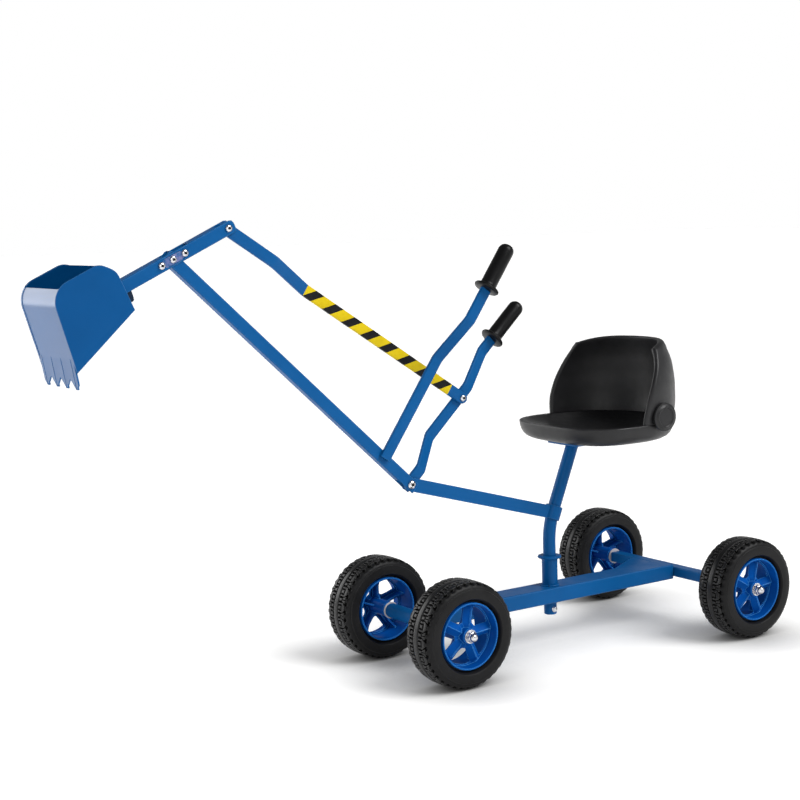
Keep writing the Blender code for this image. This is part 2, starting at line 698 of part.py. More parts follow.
def build_right_lever(boom_e):
    lever_e = empty("right_lever_group", at(PIVOT_BASE[0], 0.0, PIVOT_BASE[1]), boom_e)
    base, joint = Vector(PIVOT_BASE), Vector(PIVOT_ROD)
    place = frame(PIVOT_BASE, math.atan2(joint.y - base.y, joint.x - base.x))
    station, length = LEVER_RIGHT_GRIP
    bm = joggled_bar(place, 0.0, station + length - 0.012, 0.0, LEVER_RIGHT_JOGS, round_start=True)
    bar = from_bmesh("right_lever", bm, PARTS)
    hole_y(bar, PIVOT_BASE, 0.0040 + GAP)
    hole_y(bar, PIVOT_ROD, 0.0030 + GAP)
    node(bar, "blue", lever_e)
    y = sum(dy for _, _, dy in LEVER_RIGHT_JOGS)
    grip("right_grip", place, station, length, y, lever_e)
    y_rod = ROD_JOG[2] + BAR_T / 2
    y_bar = LEVER_RIGHT_JOGS[0][2] - BAR_T / 2
    bolt("rod_pivot_bolt", PIVOT_ROD, y_rod + GAP, y_bar - 0.0065, lever_e)
    nut("rod_pivot_nut", PIVOT_ROD, y_bar - GAP, lever_e)
    return lever_e


def build_rod(lever_e):
    rod_e = empty("link_rod_group", at(PIVOT_ROD[0], ROD_JOG[2], PIVOT_ROD[1]), lever_e)
    top, foot = Vector(PIVOT_TOP), Vector(PIVOT_ROD)
    length = (top - foot).length
    place = frame(PIVOT_TOP, math.atan2(foot.y - top.y, foot.x - top.x))
    bm = joggled_bar(place, 0.0, length, 0.0, [ROD_JOG], round_start=True, round_end=True)
    rod = from_bmesh("link_rod", bm, PARTS)
    hole_y(rod, PIVOT_ROD, 0.0030 + GAP)
    hole_y(rod, PIVOT_TOP, ROD_EYE_R, segments=16)
    node(rod, "stripe", rod_e)


def build_dipper(boom_e):
    dipper_e = empty("dipper_group", at(PIVOT_ELBOW[0], 0.0, PIVOT_ELBOW[1]), boom_e)
    elbow, top = Vector(PIVOT_ELBOW), Vector(PIVOT_TOP)
    angle = math.atan2(elbow.y - top.y, elbow.x - top.x)
    place = frame(PIVOT_ELBOW, angle)
    arm = (elbow - top).length
    h = DIPPER_H / 2

    rear_a, rear_b = Vector(BUCKET_OUTLINE[4]), Vector(BUCKET_OUTLINE[5])
    along = (rear_b - rear_a).normalized()
    outward = Vector((along.y, -along.x))
    if outward.x > 0:
        outward = -outward
    face = rear_a + outward * (0.0004 + GAP)
    plate_t = 0.0040

    def reach_to(point, v):
        """Distance along the dipper, at height v, to the plane through point."""
        start = Vector(place(0.0, v))
        d = Vector((math.cos(angle), math.sin(angle)))
        return (point - start).dot(outward) / d.dot(outward)

    near = face + outward * (plate_t + GAP)
    lo, hi = reach_to(near, -h), reach_to(near, h)
    outline = round_corners([place(-arm - DIPPER_TAIL, -h), place(lo, -h), place(hi, h),
                             place(-arm - DIPPER_TAIL, h)], [0.0040, 0.0, 0.0, 0.0060], 2)
    dipper = from_bmesh("dipper", prism(outline, -DIPPER_W / 2, DIPPER_W / 2), PARTS)
    bevel(dipper, 0.0012, 1, 60)
    y = DIPPER_W / 2 - DIPPER_WALL
    v = h - DIPPER_WALL
    w = y + SLOT_EASE
    boolean(dipper, cutter(bar_box(place, -arm - 0.03, hi + 0.03, -v, v, -y, y), "dipper_bore"))
    boolean(dipper, cutter(bar_box(place, -arm - 0.04, -arm + 0.016, -0.03, 0.03, -w, w), "rod_slot"))
    boolean(dipper, cutter(bar_box(place, -0.030, 0.0125, -0.03, 0.03, -w, w), "boom_slot"))
    recess = round_corners([place(-0.0125, -0.0068), place(0.0125, -0.0068), place(0.0125, 0.0062),
                            place(-0.0125, 0.0062)], [0.002] * 4, 2)
    boolean(dipper, cutter(prism(recess, DIPPER_W / 2 - 0.0006, DIPPER_W / 2 + 0.01), "elbow_recess"))
    bolts = {"elbow_pivot": (0.0, 0.0006), "elbow_stop_upper": (-STOP_BOLT_PITCH, 0.0),
             "elbow_stop_lower": (STOP_BOLT_PITCH, 0.0), "top_pivot": (-arm, 0.0)}
    pins = bmesh.new()
    for u, _ in bolts.values():
        one = cylinder_y(place(u, 0.0), 0.0030 + GAP, -0.03, 0.03)
        step = bpy.data.meshes.new("pin_hole")
        one.to_mesh(step)
        one.free()
        pins.from_mesh(step)
    boolean(dipper, cutter(pins, "dipper_pin_holes"))
    node(dipper, "blue", dipper_e)
    for tag, (u, sink) in bolts.items():
        centre = place(u, 0.0)
        bolt(tag + "_bolt", centre, DIPPER_W / 2 + GAP - sink, -DIPPER_W / 2 - 0.0065, dipper_e)
        nut(tag + "_nut", centre, -DIPPER_W / 2 - GAP, dipper_e)

    build_bucket(dipper_e, face, outward, along, plate_t)


def offset_open(points, distance):
    """Offset an open polyline to its right-hand side."""
    out = []
    for i, p in enumerate(points):
        here = Vector(p)
        dirs = []
        if i > 0:
            dirs.append((here - Vector(points[i - 1])).normalized())
        if i < len(points) - 1:
            dirs.append((Vector(points[i + 1]) - here).normalized())
        normals = [Vector((d.y, -d.x)) for d in dirs]
        mid = sum(normals, Vector((0.0, 0.0))).normalized()
        out.append(tuple(here + mid * distance / mid.dot(normals[0])))
    return out


def build_bucket(dipper_e, face, outward, along, plate_t):
    outline = round_corners(BUCKET_OUTLINE, BUCKET_RADII, 4)
    inset = 0.0015
    path = [LIP_TIP] + outline
    skin = offset_open(path, -inset)
    inner = offset_open(path, -inset - BUCKET_PLATE)
    half = BUCKET_W / 2 - BUCKET_PLATE - GAP
    wrap = from_bmesh("bucket_wrap", prism(skin + inner[::-1], -half, half), PARTS)
    edge, tip = Vector(BUCKET_OUTLINE[0]), Vector(LIP_TIP)
    down = (tip - edge).normalized()
    normal = Vector((down.y, -down.x))
    teeth = []
    deep = (tip - edge).length + 0.004
    valley = (tip - edge).length - TOOTH_DEPTH
    for k in range(5):
        mid = (k - 2) * TOOTH_PITCH
        rise = valley if 0 < k < 4 else 0.001
        wide = TOOTH_PITCH / 2 + 0.0002
        slope = (deep - rise) / (((tip - edge).length - rise) / wide)
        teeth.append((mid, rise, slope, deep))
    for k, (mid, rise, slope, deep) in enumerate(teeth):
        tri = [(mid - slope, deep), (mid, rise), (mid + slope, deep)]
        rings = []
        for out in (-0.02, 0.02):
            ring = []
            for y, d in tri:
                p = edge + down * d + normal * out
                ring.append(at(p.x, y, p.y))
            rings.append(ring)
        boolean(wrap, cutter(loft(rings), "tooth_gap_%d" % k))
    node(wrap, "blue", dipper_e)

    for tag, side in (("left", 1), ("right", -1)):
        y = side * BUCKET_W / 2
        plate = from_bmesh("bucket_side_" + tag, prism(outline, y - side * BUCKET_PLATE, y), PARTS)
        node(plate, "blue", dipper_e)

    start, end = face + along * 0.004, face + along * 0.050
    far = outward * plate_t
    mount = from_bmesh("bucket_mount_plate",
                       prism([tuple(start), tuple(end), tuple(end + far), tuple(start + far)],
                             -0.030, 0.030), PARTS)
    bevel(mount, 0.0015, 2)
    node(mount, "grey", dipper_e)


# ---------------------------------------------------------------- build
clear_scene()
PARTS = collection(NAME)
CUTTERS = collection("cutters")
chassis = build_chassis()
upper_frame = build_upper(chassis)
boom_group = build_boom(upper_frame)
right_lever_group = build_right_lever(boom_group)
build_rod(right_lever_group)
build_dipper(boom_group)
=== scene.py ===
import json
import math

import bmesh
import bpy
from mathutils import Matrix, Vector


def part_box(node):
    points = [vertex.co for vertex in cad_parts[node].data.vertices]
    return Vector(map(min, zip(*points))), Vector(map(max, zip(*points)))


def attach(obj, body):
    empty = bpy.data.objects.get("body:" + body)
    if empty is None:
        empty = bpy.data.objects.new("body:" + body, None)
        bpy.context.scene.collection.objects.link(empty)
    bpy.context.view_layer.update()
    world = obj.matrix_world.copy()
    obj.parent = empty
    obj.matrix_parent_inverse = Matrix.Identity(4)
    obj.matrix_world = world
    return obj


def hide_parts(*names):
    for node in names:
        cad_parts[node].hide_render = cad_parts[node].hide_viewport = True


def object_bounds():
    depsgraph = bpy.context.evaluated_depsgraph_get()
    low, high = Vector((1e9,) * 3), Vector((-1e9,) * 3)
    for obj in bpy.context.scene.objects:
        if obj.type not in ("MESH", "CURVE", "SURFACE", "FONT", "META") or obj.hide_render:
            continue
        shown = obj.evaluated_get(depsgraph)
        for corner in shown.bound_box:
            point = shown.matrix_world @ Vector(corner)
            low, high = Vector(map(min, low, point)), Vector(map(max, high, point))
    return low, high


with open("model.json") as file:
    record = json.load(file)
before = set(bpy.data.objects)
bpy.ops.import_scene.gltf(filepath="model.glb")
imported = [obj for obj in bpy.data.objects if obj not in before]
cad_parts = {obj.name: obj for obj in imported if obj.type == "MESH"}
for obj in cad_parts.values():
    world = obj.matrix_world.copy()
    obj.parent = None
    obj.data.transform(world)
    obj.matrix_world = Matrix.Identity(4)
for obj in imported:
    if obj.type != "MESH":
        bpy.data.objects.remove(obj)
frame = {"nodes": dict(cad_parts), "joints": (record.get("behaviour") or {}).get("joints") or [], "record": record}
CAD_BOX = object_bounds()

RECORD = frame["record"]
BODY_OF = {n: b for b, names in RECORD["behaviour"]["bodies"].items() for n in names}
JOINT_AT = {j["name"]: Vector(j["pos_m"]) for j in frame["joints"]}
rad = math.radians


def middle(node):
    lo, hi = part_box(node)
    return (lo + hi) / 2


# -------- materials
class Finish:
    """A Principled material and the procedural nodes that drive it."""

    def __init__(self, name, **settings):
        self.mat = bpy.data.materials.new(name)
        self.mat.use_nodes = True
        self.tree = self.mat.node_tree
        self.bsdf = self.tree.nodes["Principled BSDF"]
        for key, value in settings.items():
            self.bsdf.inputs[key.replace("_", " ")].default_value = value
        self.place = self.tree.nodes.new("ShaderNodeTexCoord").outputs["Object"]

    def node(self, kind, links=None, **values):
        """A node; values set its properties, or else the sockets of that name."""
        made = self.tree.nodes.new(kind)
        for key, value in values.items():
            if hasattr(made, key):
                setattr(made, key, value)
            else:
                made.inputs[key.replace("_", " ")].default_value = value
        for slot, source in (links or {}).items():
            self.tree.links.new(source, made.inputs[slot])
        return made

    def noise(self, scale, detail=3.0, rough=0.55, stretch=None):
        place = self.place
        if stretch:
            place = self.node("ShaderNodeMapping", {"Vector": place}, Scale=stretch).outputs["Vector"]
        return self.node("ShaderNodeTexNoise", {"Vector": place}, Scale=scale, Detail=detail,
                         Roughness=rough).outputs["Fac"]

    def cells(self, scale):
        return self.node("ShaderNodeTexVoronoi", {"Vector": self.place}, Scale=scale).outputs["Distance"]

    def maths(self, operation, a, b=None):
        """One maths node; b may be a constant."""
        made = self.node("ShaderNodeMath", {0: a}, operation=operation)
        if isinstance(b, float):
            made.inputs[1].default_value = b
        elif b is not None:
            self.tree.links.new(b, made.inputs[1])
        return made.outputs[0]

    def spread(self, source, low, high, to_low, to_high):
        """Map source from (low, high) to (to_low, to_high), clamped."""
        return self.node("ShaderNodeMapRange", {"Value": source}, From_Min=low, From_Max=high, To_Min=to_low,
                         To_Max=to_high).outputs["Result"]

    def ramp(self, source, *stops):
        """Two stops: (position, colour)."""
        made = self.node("ShaderNodeValToRGB", {"Fac": source})
        for element, (at_, colour) in zip(made.color_ramp.elements, stops):
            element.position = at_
            element.color = (*colour, 1.0)
        return made.outputs["Color"]

    def mix(self, share, a, b):
        """Colour a where share is 0 and b where it is 1; either may be a constant."""
        made = self.node("ShaderNodeMix", {"Factor": share}, data_type="RGBA")
        for slot, value in ((6, a), (7, b)):
            if isinstance(value, tuple):
                made.inputs[slot].default_value = (*value, 1.0)
            else:
                self.tree.links.new(value, made.inputs[slot])
        return made.outputs[2]

    def rounded(self, radius):
        """A shading normal that rounds edges."""
        return self.node("ShaderNodeBevel", samples=6, Radius=radius).outputs["Normal"]

    def edge(self, normal):
        """1 on an edge and 0 on the flat, from the rounded normal."""
        flat = self.node("ShaderNodeNewGeometry").outputs["Normal"]
        dot = self.node("ShaderNodeVectorMath", {0: normal, 1: flat}, operation="DOT_PRODUCT")
        return self.spread(dot.outputs["Value"], 0.995, 0.90, 0.0, 1.0)

    def bump(self, height, strength, distance, normal=None):
        made = self.node("ShaderNodeBump", {"Height": height}, Strength=strength, Distance=distance)
        if normal is not None:
            self.tree.links.new(normal, made.inputs["Normal"])
        return made.outputs["Normal"]

    def feed(self, **sources):
        for key, source in sources.items():
            self.tree.links.new(source, self.bsdf.inputs[key.replace("_", " ")])
        return self.mat


def powder_coat(name, low, high, edge_highlight_colour, radius=0.0013, rough=(0.30, 0.42), level=0.10, peel_depth=0.08):
    """Sprayed and baked coat: slight tone drift, a painted highlight on the edges, orange peel."""
    f = Finish(name, Specular_IOR_Level=level)
    normal = f.rounded(radius)
    tone = f.ramp(f.noise(9.0, 4.0), (0.35, low), (0.65, high))
    # painted highlight: edges mix toward a paler colour, broken up by noise
    edge_highlight = f.maths("MULTIPLY", f.edge(normal), f.spread(f.noise(160.0, 4.0, 0.7), 0.35, 0.6, 0.25, 0.8))
    colour = f.mix(edge_highlight, tone, edge_highlight_colour)
    gloss = f.spread(f.noise(38.0, 5.0), 0.3, 0.7, *rough)
    peel = f.bump(f.noise(420.0, 2.0), peel_depth, 0.0004, normal)
    speck = f.bump(f.noise(1500.0, 1.0), 0.05, 0.0002, peel)
    return f.feed(Base_Color=colour, Roughness=gloss, Normal=speck)


def moulded(name, low, high, rough, level=0.5, grain=1300.0, depth=0.12, radius=0.0008, drift=18.0,
            edge=None):
    """Injection-moulded plastic with a spark-eroded grain; a given edge colour paints a highlight on its edges."""
    f = Finish(name, Specular_IOR_Level=level)
    normal = f.rounded(radius)
    colour = f.ramp(f.noise(drift, 4.0), (0.35, low), (0.68, high))
    # painted highlight: edges mix toward the paler edge colour
    if edge:
        colour = f.mix(f.edge(normal), colour, edge)
    gloss = f.spread(f.noise(70.0, 4.0), 0.3, 0.7, *rough)
    coarse = f.bump(f.cells(grain * 0.45), depth * 0.6, 0.0003, normal)
    fine = f.bump(f.noise(grain, 2.0), depth, 0.0003, coarse)
    return f.feed(Base_Color=colour, Roughness=gloss, Normal=fine)


def plated(name, low, high, rough):
    """Bright zinc plate: metal with a cloudy, lightly brushed gloss."""
    f = Finish(name, Metallic=1.0)
    normal = f.rounded(0.0005)
    colour = f.ramp(f.noise(240.0, 4.0), (0.35, low), (0.65, high))
    gloss = f.spread(f.noise(420.0, 3.0, 0.6, (1.0, 6.0, 1.0)), 0.3, 0.7, *rough)
    scratched = f.bump(f.noise(900.0, 2.0, 0.5, (1.0, 8.0, 1.0)), 0.08, 0.0002, normal)
    return f.feed(Base_Color=colour, Roughness=gloss, Normal=scratched)


def rubber(name, edge_highlight_colour, level, rough, radius=0.0007):
    """Black rubber with a dusty bloom, its moulded edges paler and shinier; the paler edge colour is a painted
    highlight.
    """
    f = Finish(name, Specular_IOR_Level=level)
    normal = f.rounded(radius)
    bloom = f.noise(34.0, 5.0, 0.6)
    base = f.ramp(bloom, (0.30, (0.0050, 0.0050, 0.0054)), (0.72, (0.0095, 0.0095, 0.0100)))
    # painted highlight: edges mix toward the paler edge colour
    colour = f.mix(f.maths("MULTIPLY", f.edge(normal), f.spread(bloom, 0.3, 0.7, 0.55, 1.0)), base,
                   edge_highlight_colour)
    gloss = f.spread(bloom, 0.3, 0.7, *rough)
    pores = f.bump(f.noise(1100.0, 3.0, 0.7), 0.16, 0.0004, normal)
    return f.feed(Base_Color=colour, Roughness=gloss, Normal=pores)


STRIPE_SLANT = 0.95    # how far a bar leans along the rod per unit of its height
FIRST_BAR = 0.0083     # the first black bar starts this far into the yellow
YELLOW_START, YELLOW_STOP, BAR_PITCH, BAR_SHARE = 0.1637, 0.4572, 0.0373, 0.42


def hazard_stripes(name, origin, along, across):
    """Slanting black bars on yellow between two stations of the rod; blue beyond them."""
    f = Finish(name, Specular_IOR_Level=0.12)
    normal = f.rounded(0.0010)

    def distance(direction, offset):
        dot = f.node("ShaderNodeVectorMath", {0: f.place}, operation="DOT_PRODUCT")
        dot.inputs[1].default_value = direction
        return f.maths("SUBTRACT", dot.outputs["Value"], offset)

    u = distance(along, origin.dot(along))
    slant = along - across * STRIPE_SLANT
    slanted = distance(slant, origin.dot(slant))
    from_first = f.maths("SUBTRACT", slanted, YELLOW_START + FIRST_BAR)
    phase = f.maths("FRACT", f.maths("DIVIDE", from_first, BAR_PITCH))
    edge_wobble = f.spread(f.noise(500.0, 2.0), 0.3, 0.7, -0.004, 0.004)
    black = f.maths("LESS_THAN", f.maths("ADD", phase, edge_wobble), BAR_SHARE)
    inside = f.maths("MULTIPLY", f.maths("GREATER_THAN", u, YELLOW_START),
                     f.maths("LESS_THAN", u, YELLOW_STOP))
    soil = f.noise(60.0, 5.0)
    yellow = f.ramp(soil, (0.35, (0.560, 0.410, 0.004)), (0.65, (0.630, 0.470, 0.007)))
    ink = f.ramp(soil, (0.35, (0.005, 0.005, 0.006)), (0.65, (0.010, 0.010, 0.011)))
    coat = f.ramp(f.noise(9.0, 4.0), (0.35, BLUE_LOW), (0.65, BLUE_HIGH))
    colour = f.mix(inside, coat, f.mix(black, yellow, ink))
    gloss = f.spread(soil, 0.3, 0.7, 0.30, 0.40)
    peel = f.bump(f.noise(420.0, 2.0), 0.10, 0.0004, normal)
    return f.feed(Base_Color=colour, Roughness=gloss, Normal=peel)


BLUE_LOW, BLUE_HIGH = (0.0018, 0.074, 0.236), (0.0030, 0.086, 0.268)
# paler blue for the coat's painted edge highlight
BLUE_EDGE_HIGHLIGHT = (0.060, 0.200, 0.420)
COAT = powder_coat("blue_powder_coat", BLUE_LOW, BLUE_HIGH, BLUE_EDGE_HIGHLIGHT)
BUCKET_COAT = powder_coat("bucket_powder_coat", BLUE_LOW, BLUE_HIGH, BLUE_EDGE_HIGHLIGHT, radius=0.0005,
                          rough=(0.31, 0.33), level=0.60, peel_depth=0.010)
# a darker copy of the coat for the side plates' flat faces: painted shade
BUCKET_SIDE_SHADE = powder_coat("bucket_side_painted_shade", (0.0006, 0.060, 0.198), (0.0010, 0.068, 0.222), BLUE_EDGE_HIGHLIGHT)
# a much darker copy of the coat for upward faces: painted shade
BUCKET_TOP_SHADE = powder_coat("bucket_top_painted_shade", (0.0004, 0.030, 0.105), (0.0006, 0.036, 0.122), BLUE_EDGE_HIGHLIGHT,
                         level=0.0)
# the rim's paler edge colour is a painted highlight on its lip and edges
RIM = moulded("rim_plastic", (0.0008, 0.062, 0.290), (0.0012, 0.076, 0.340), (0.34, 0.44), 0.03, 900.0, 0.04,
              radius=0.0010, edge=(0.060, 0.300, 0.680))
# the edge colours of both rubbers are painted highlights, the tread's the brighter glint
TYRE = rubber("tyre_rubber", (0.045, 0.045, 0.046), 0.16, (0.36, 0.50))
TREAD = rubber("tread_rubber", (0.170, 0.170, 0.172), 0.26, (0.26, 0.36), 0.0005)
# near-black rubber for the groove floors between the tread blocks: painted shade
GROOVE_SHADE = moulded("groove_painted_shade", (0.0010, 0.0010, 0.0010), (0.0020, 0.0020, 0.0020), (0.50, 0.60), 0.10)
SEAT = moulded("seat_plastic", (0.0090, 0.0090, 0.0100), (0.0140, 0.0140, 0.0155), (0.36, 0.47), 0.35, 1300.0,
               0.14)
GRIP = moulded("grip_vinyl", (0.0040, 0.0040, 0.0044), (0.0060, 0.0060, 0.0066), (0.28, 0.38), 0.16, 800.0,
               0.08)
# pale blue beads along the spoke crests: a painted highlight
CREST_HIGHLIGHT = moulded("rim_crest_plastic", (0.018, 0.150, 0.450), (0.030, 0.190, 0.540), (0.22, 0.30), 0.30, 900.0,
                0.03)
NYLON = moulded("grey_nylon", (0.400, 0.380, 0.400), (0.500, 0.470, 0.490), (0.45, 0.55), 0.4, 900.0, 0.06)
# blue patched with lilac: a painted reflection for the elbow plate
LILAC_REFLECTION = moulded("elbow_painted_reflection", (0.003, 0.074, 0.236), (0.150, 0.160, 0.340), (0.28, 0.40), 0.4, 900.0, 0.06,
                drift=260.0)
# dark colour inside the bolts' hex sockets: painted shade
SOCKET_SHADE = moulded("bolt_socket", (0.0120, 0.0120, 0.0130), (0.0300, 0.0300, 0.0310), (0.50, 0.60), 0.3, 900.0,
                 0.06)
ZINC = plated("zinc_plate", (0.560, 0.560, 0.590), (0.720, 0.720, 0.740), (0.16, 0.30))
DARK = powder_coat("dark_steel", (0.0060, 0.0150, 0.0330), (0.0090, 0.0200, 0.0420), (0.030, 0.060, 0.110))


# -------- mesh helpers
def piece(name, bm, finish, nodes=(), body=None, sharp=32.0):
    """Finish a mesh piece and hang it on its body; nodes are the CAD nodes it stands for."""
    bmesh.ops.recalc_face_normals(bm, faces=bm.faces)
    mesh = bpy.data.meshes.new(name)
    bm.to_mesh(mesh)
    bm.free()
    mesh.shade_smooth()
    mesh.set_sharp_from_angle(angle=rad(sharp))
    mesh.materials.append(finish)
    obj = bpy.data.objects.new(name, mesh)
    bpy.context.scene.collection.objects.link(obj)
    nodes = [nodes] if isinstance(nodes, str) else list(nodes)
    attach(obj, body or BODY_OF[nodes[0]])
    if nodes:
        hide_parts(*nodes)
    return obj


def painted(name, bm, nodes=(), body=None, sharp=40.0):
    return piece(name, bm, COAT, nodes, body, sharp)


def turns(count):
    """Angles once round."""
    return [2 * math.pi * k / count for k in range(count)]


def polar(r, t, z):
    return (r * math.cos(t), r * math.sin(t), z)


def loft(rings, closed=False, caps=(True, True), bm=None):
    """Skin equal rings of points. closed joins the last ring to the first."""
    bm = bm or bmesh.new()
    rows = [[bm.verts.new(p) for p in ring] for ring in rings]
    pairs = list(zip(rows, rows[1:])) + ([(rows[-1], rows[0])] if closed else [])
    count = len(rows[0])
    for a, b in pairs:
        for j in range(count):
            k = (j + 1) % count
            bm.faces.new((a[j], a[k], b[k], b[j]))
    if not closed:
        for row, cap in ((rows[0], caps[0]), (rows[-1], caps[1])):
            if cap:
                bm.faces.new(row)
    return bm


def lathe(profile, count=48, closed=False, bm=None):
    """Spin (radius, height) points about Z.

    A third number makes that ring a polygon of so many sides, a fourth trims its corners to that radius.
    """
    bm = bm or bmesh.new()
    rings = []
    for radius, height, *shape in profile:
        ring = []
        for t in turns(count):
            r = radius
            if shape:
                half = math.pi / shape[0]
                r *= math.cos(half) / math.cos(t % (2 * half) - half)
                if len(shape) > 1:
                    r = min(r, shape[1])
            ring.append(polar(r, t, height))
        rings.append(ring)
    before = set(bm.verts)
    loft(rings, closed, (False, False), bm)
    bmesh.ops.remove_doubles(bm, verts=[v for v in bm.verts if v not in before], dist=1e-6)
    return bm


def move(bm, matrix):
    bmesh.ops.transform(bm, matrix=matrix, verts=bm.verts)
    return bm


def pointing(at_, axis):
    """Puts a lathed shape at a point with its Z along axis."""
    turn = Vector((0, 0, 1)).rotation_difference(Vector(axis)).to_matrix().to_4x4()
    return Matrix.Translation(at_) @ turn


def rounded_rect(half_a, half_b, radius, steps=4):
    radius = min(radius, half_a * 0.98, half_b * 0.98)
    out = []
    for sa, sb, start in ((1, 1, 0), (-1, 1, 90), (-1, -1, 180), (1, -1, 270)):
        for k in range(steps + 1):
            t = rad(start + 90.0 * k / steps)
            out.append((sa * (half_a - radius) + radius * math.cos(t),
                        sb * (half_b - radius) + radius * math.sin(t)))
    return out


def side_frame(origin, angle):
    """Maps (along, across) in the side plane to world x and z."""
    c, n = math.cos(angle), math.sin(angle)
    return lambda u, v: (origin[0] + u * c - v * n, origin[1] + u * n + v * c)


def smooth_step(f):
    f = min(max(f, 0.0), 1.0)
    return f * f * (3 - 2 * f)


def bead(name, path, radius, closed=True, lift=None):
    """A weld bead: a rippled round along a path."""
    count = len(path)
    rings = []
    for i, p in enumerate(path):
        a = path[(i - 1) % count] if closed or i else p
        b = path[(i + 1) % count] if closed or i < count - 1 else p
        along = (Vector(b) - Vector(a)).normalized()
        side = along.orthogonal() if lift is None else Vector(lift)
        side = (side - along * side.dot(along)).normalized()
        other = along.cross(side)
        r = radius * (1.0 + 0.16 * math.sin(2.4 * i) + 0.05 * math.sin(5.1 * i + 1.0))
        if not closed:
            r *= max(0.25, math.sin(math.pi * (i + 0.5) / count) ** 0.3)
        rings.append([Vector(p) + side * (r * math.cos(t)) + other * (r * math.sin(t))
                      for t in turns(10)])
    painted(name, loft(rings, closed), body="chassis", sharp=60.0)


# -------- wheels
TYRE_R = 0.0775
PITCHES = 20             # repeats of the tread round the tyre
TREAD_HALF = 0.0212      # half width of the part with blocks
LAND_R, GROOVE_R = 0.0742, 0.0700
SPOKES = 5
SPOKE_HALF = 0.0086
SPOKE_TURN = rad(-12)    # how the left wheels stand
SPOKE_STEP = rad(360 / SPOKES)
SPOKE_AXES = [rad(90 + 360 / SPOKES * k) for k in range(SPOKES)]
WEB_IN, WEB_OUT = 0.019, 0.043
WEB_W = 0.0112           # the spokes' plane, out from the wheel's middle
SORT_BY = Vector((1.0, 7.13, 53.7))      # a direction along which no two points tie
CROWN = ((0.0, 0.0775), (0.011, 0.0774), (0.019, 0.0766), (0.0255, 0.0753), (0.030, 0.0735))


def crown(w):
    """Tread radius at a distance w from the tyre's middle."""
    w = abs(w)
    for (w0, r0), (w1, r1) in zip(CROWN, CROWN[1:]):
        if w <= w1:
            return r0 + (r1 - r0) * (w - w0) / (w1 - w0)
    return CROWN[-1][1]


def on_tread(a, w, drop):
    """A point on the tread: arc distance a, width w, drop below the crown."""
    return polar(crown(w) - drop, a / TYRE_R, w)


def tread_block(bm, corners, a0, flip):
    """A raised convex block with a bevelled edge, wrapped round the tread."""
    outline = []
    for i, (a, w) in enumerate(corners):
        b = corners[(i + 1) % len(corners)]
        outline += [(a + (b[0] - a) * f, w + (b[1] - w) * f) for f in (0.0, 0.5)]
    ca = sum(a for a, _ in corners) / len(corners)
    cw = sum(w for _, w in corners) / len(corners)
    rings = []
    for scale, trim, drop in ((1.0, -0.0004, 0.0046), (1.0, 0.0, 0.0007), (1.0, 0.0004, 0.0001),
                              (1.0, 0.0010, 0.0), (0.55, 0.0, 0.0), (0.15, 0.0, 0.0)):
        ring = []
        for a, w in outline:
            da, dw = a - ca, w - cw
            reach = math.hypot(da, dw)
            f = (reach * scale - trim) / reach
            ring.append(on_tread(a0 + ca + da * f, flip * (cw + dw * f), drop))
        rings.append(ring)
    loft(rings, bm=bm)


# outlines of the blocks in one pitch, in mm: (round the tyre, out from its middle)
LUG_BODY = [(-7.4, 15.0), (7.4, 15.0), (6.9, 17.2), (3.8, 20.7), (-3.8, 20.7), (-6.9, 17.2)]
LUG_FINGERS = [[(-7.0, 6.6), (-4.6, 6.6), (-4.9, 15.4), (-7.4, 15.4)],
               [(4.6, 6.6), (7.0, 6.6), (7.4, 15.4), (4.9, 15.4)],
               [(-2.3, 7.2), (2.3, 7.2), (2.3, 12.8), (-2.3, 12.8)]]
LUG_BETWEEN = [[(-2.3, 6.6), (2.3, 6.6), (1.7, 12.6), (-1.7, 12.6)],
               [(-2.2, 14.0), (-0.5, 14.8), (-0.5, 20.7), (-5.4, 20.7), (-4.4, 18.4)],
               [(0.5, 14.8), (2.2, 14.0), (4.4, 18.4), (5.4, 20.7), (0.5, 20.7)]]


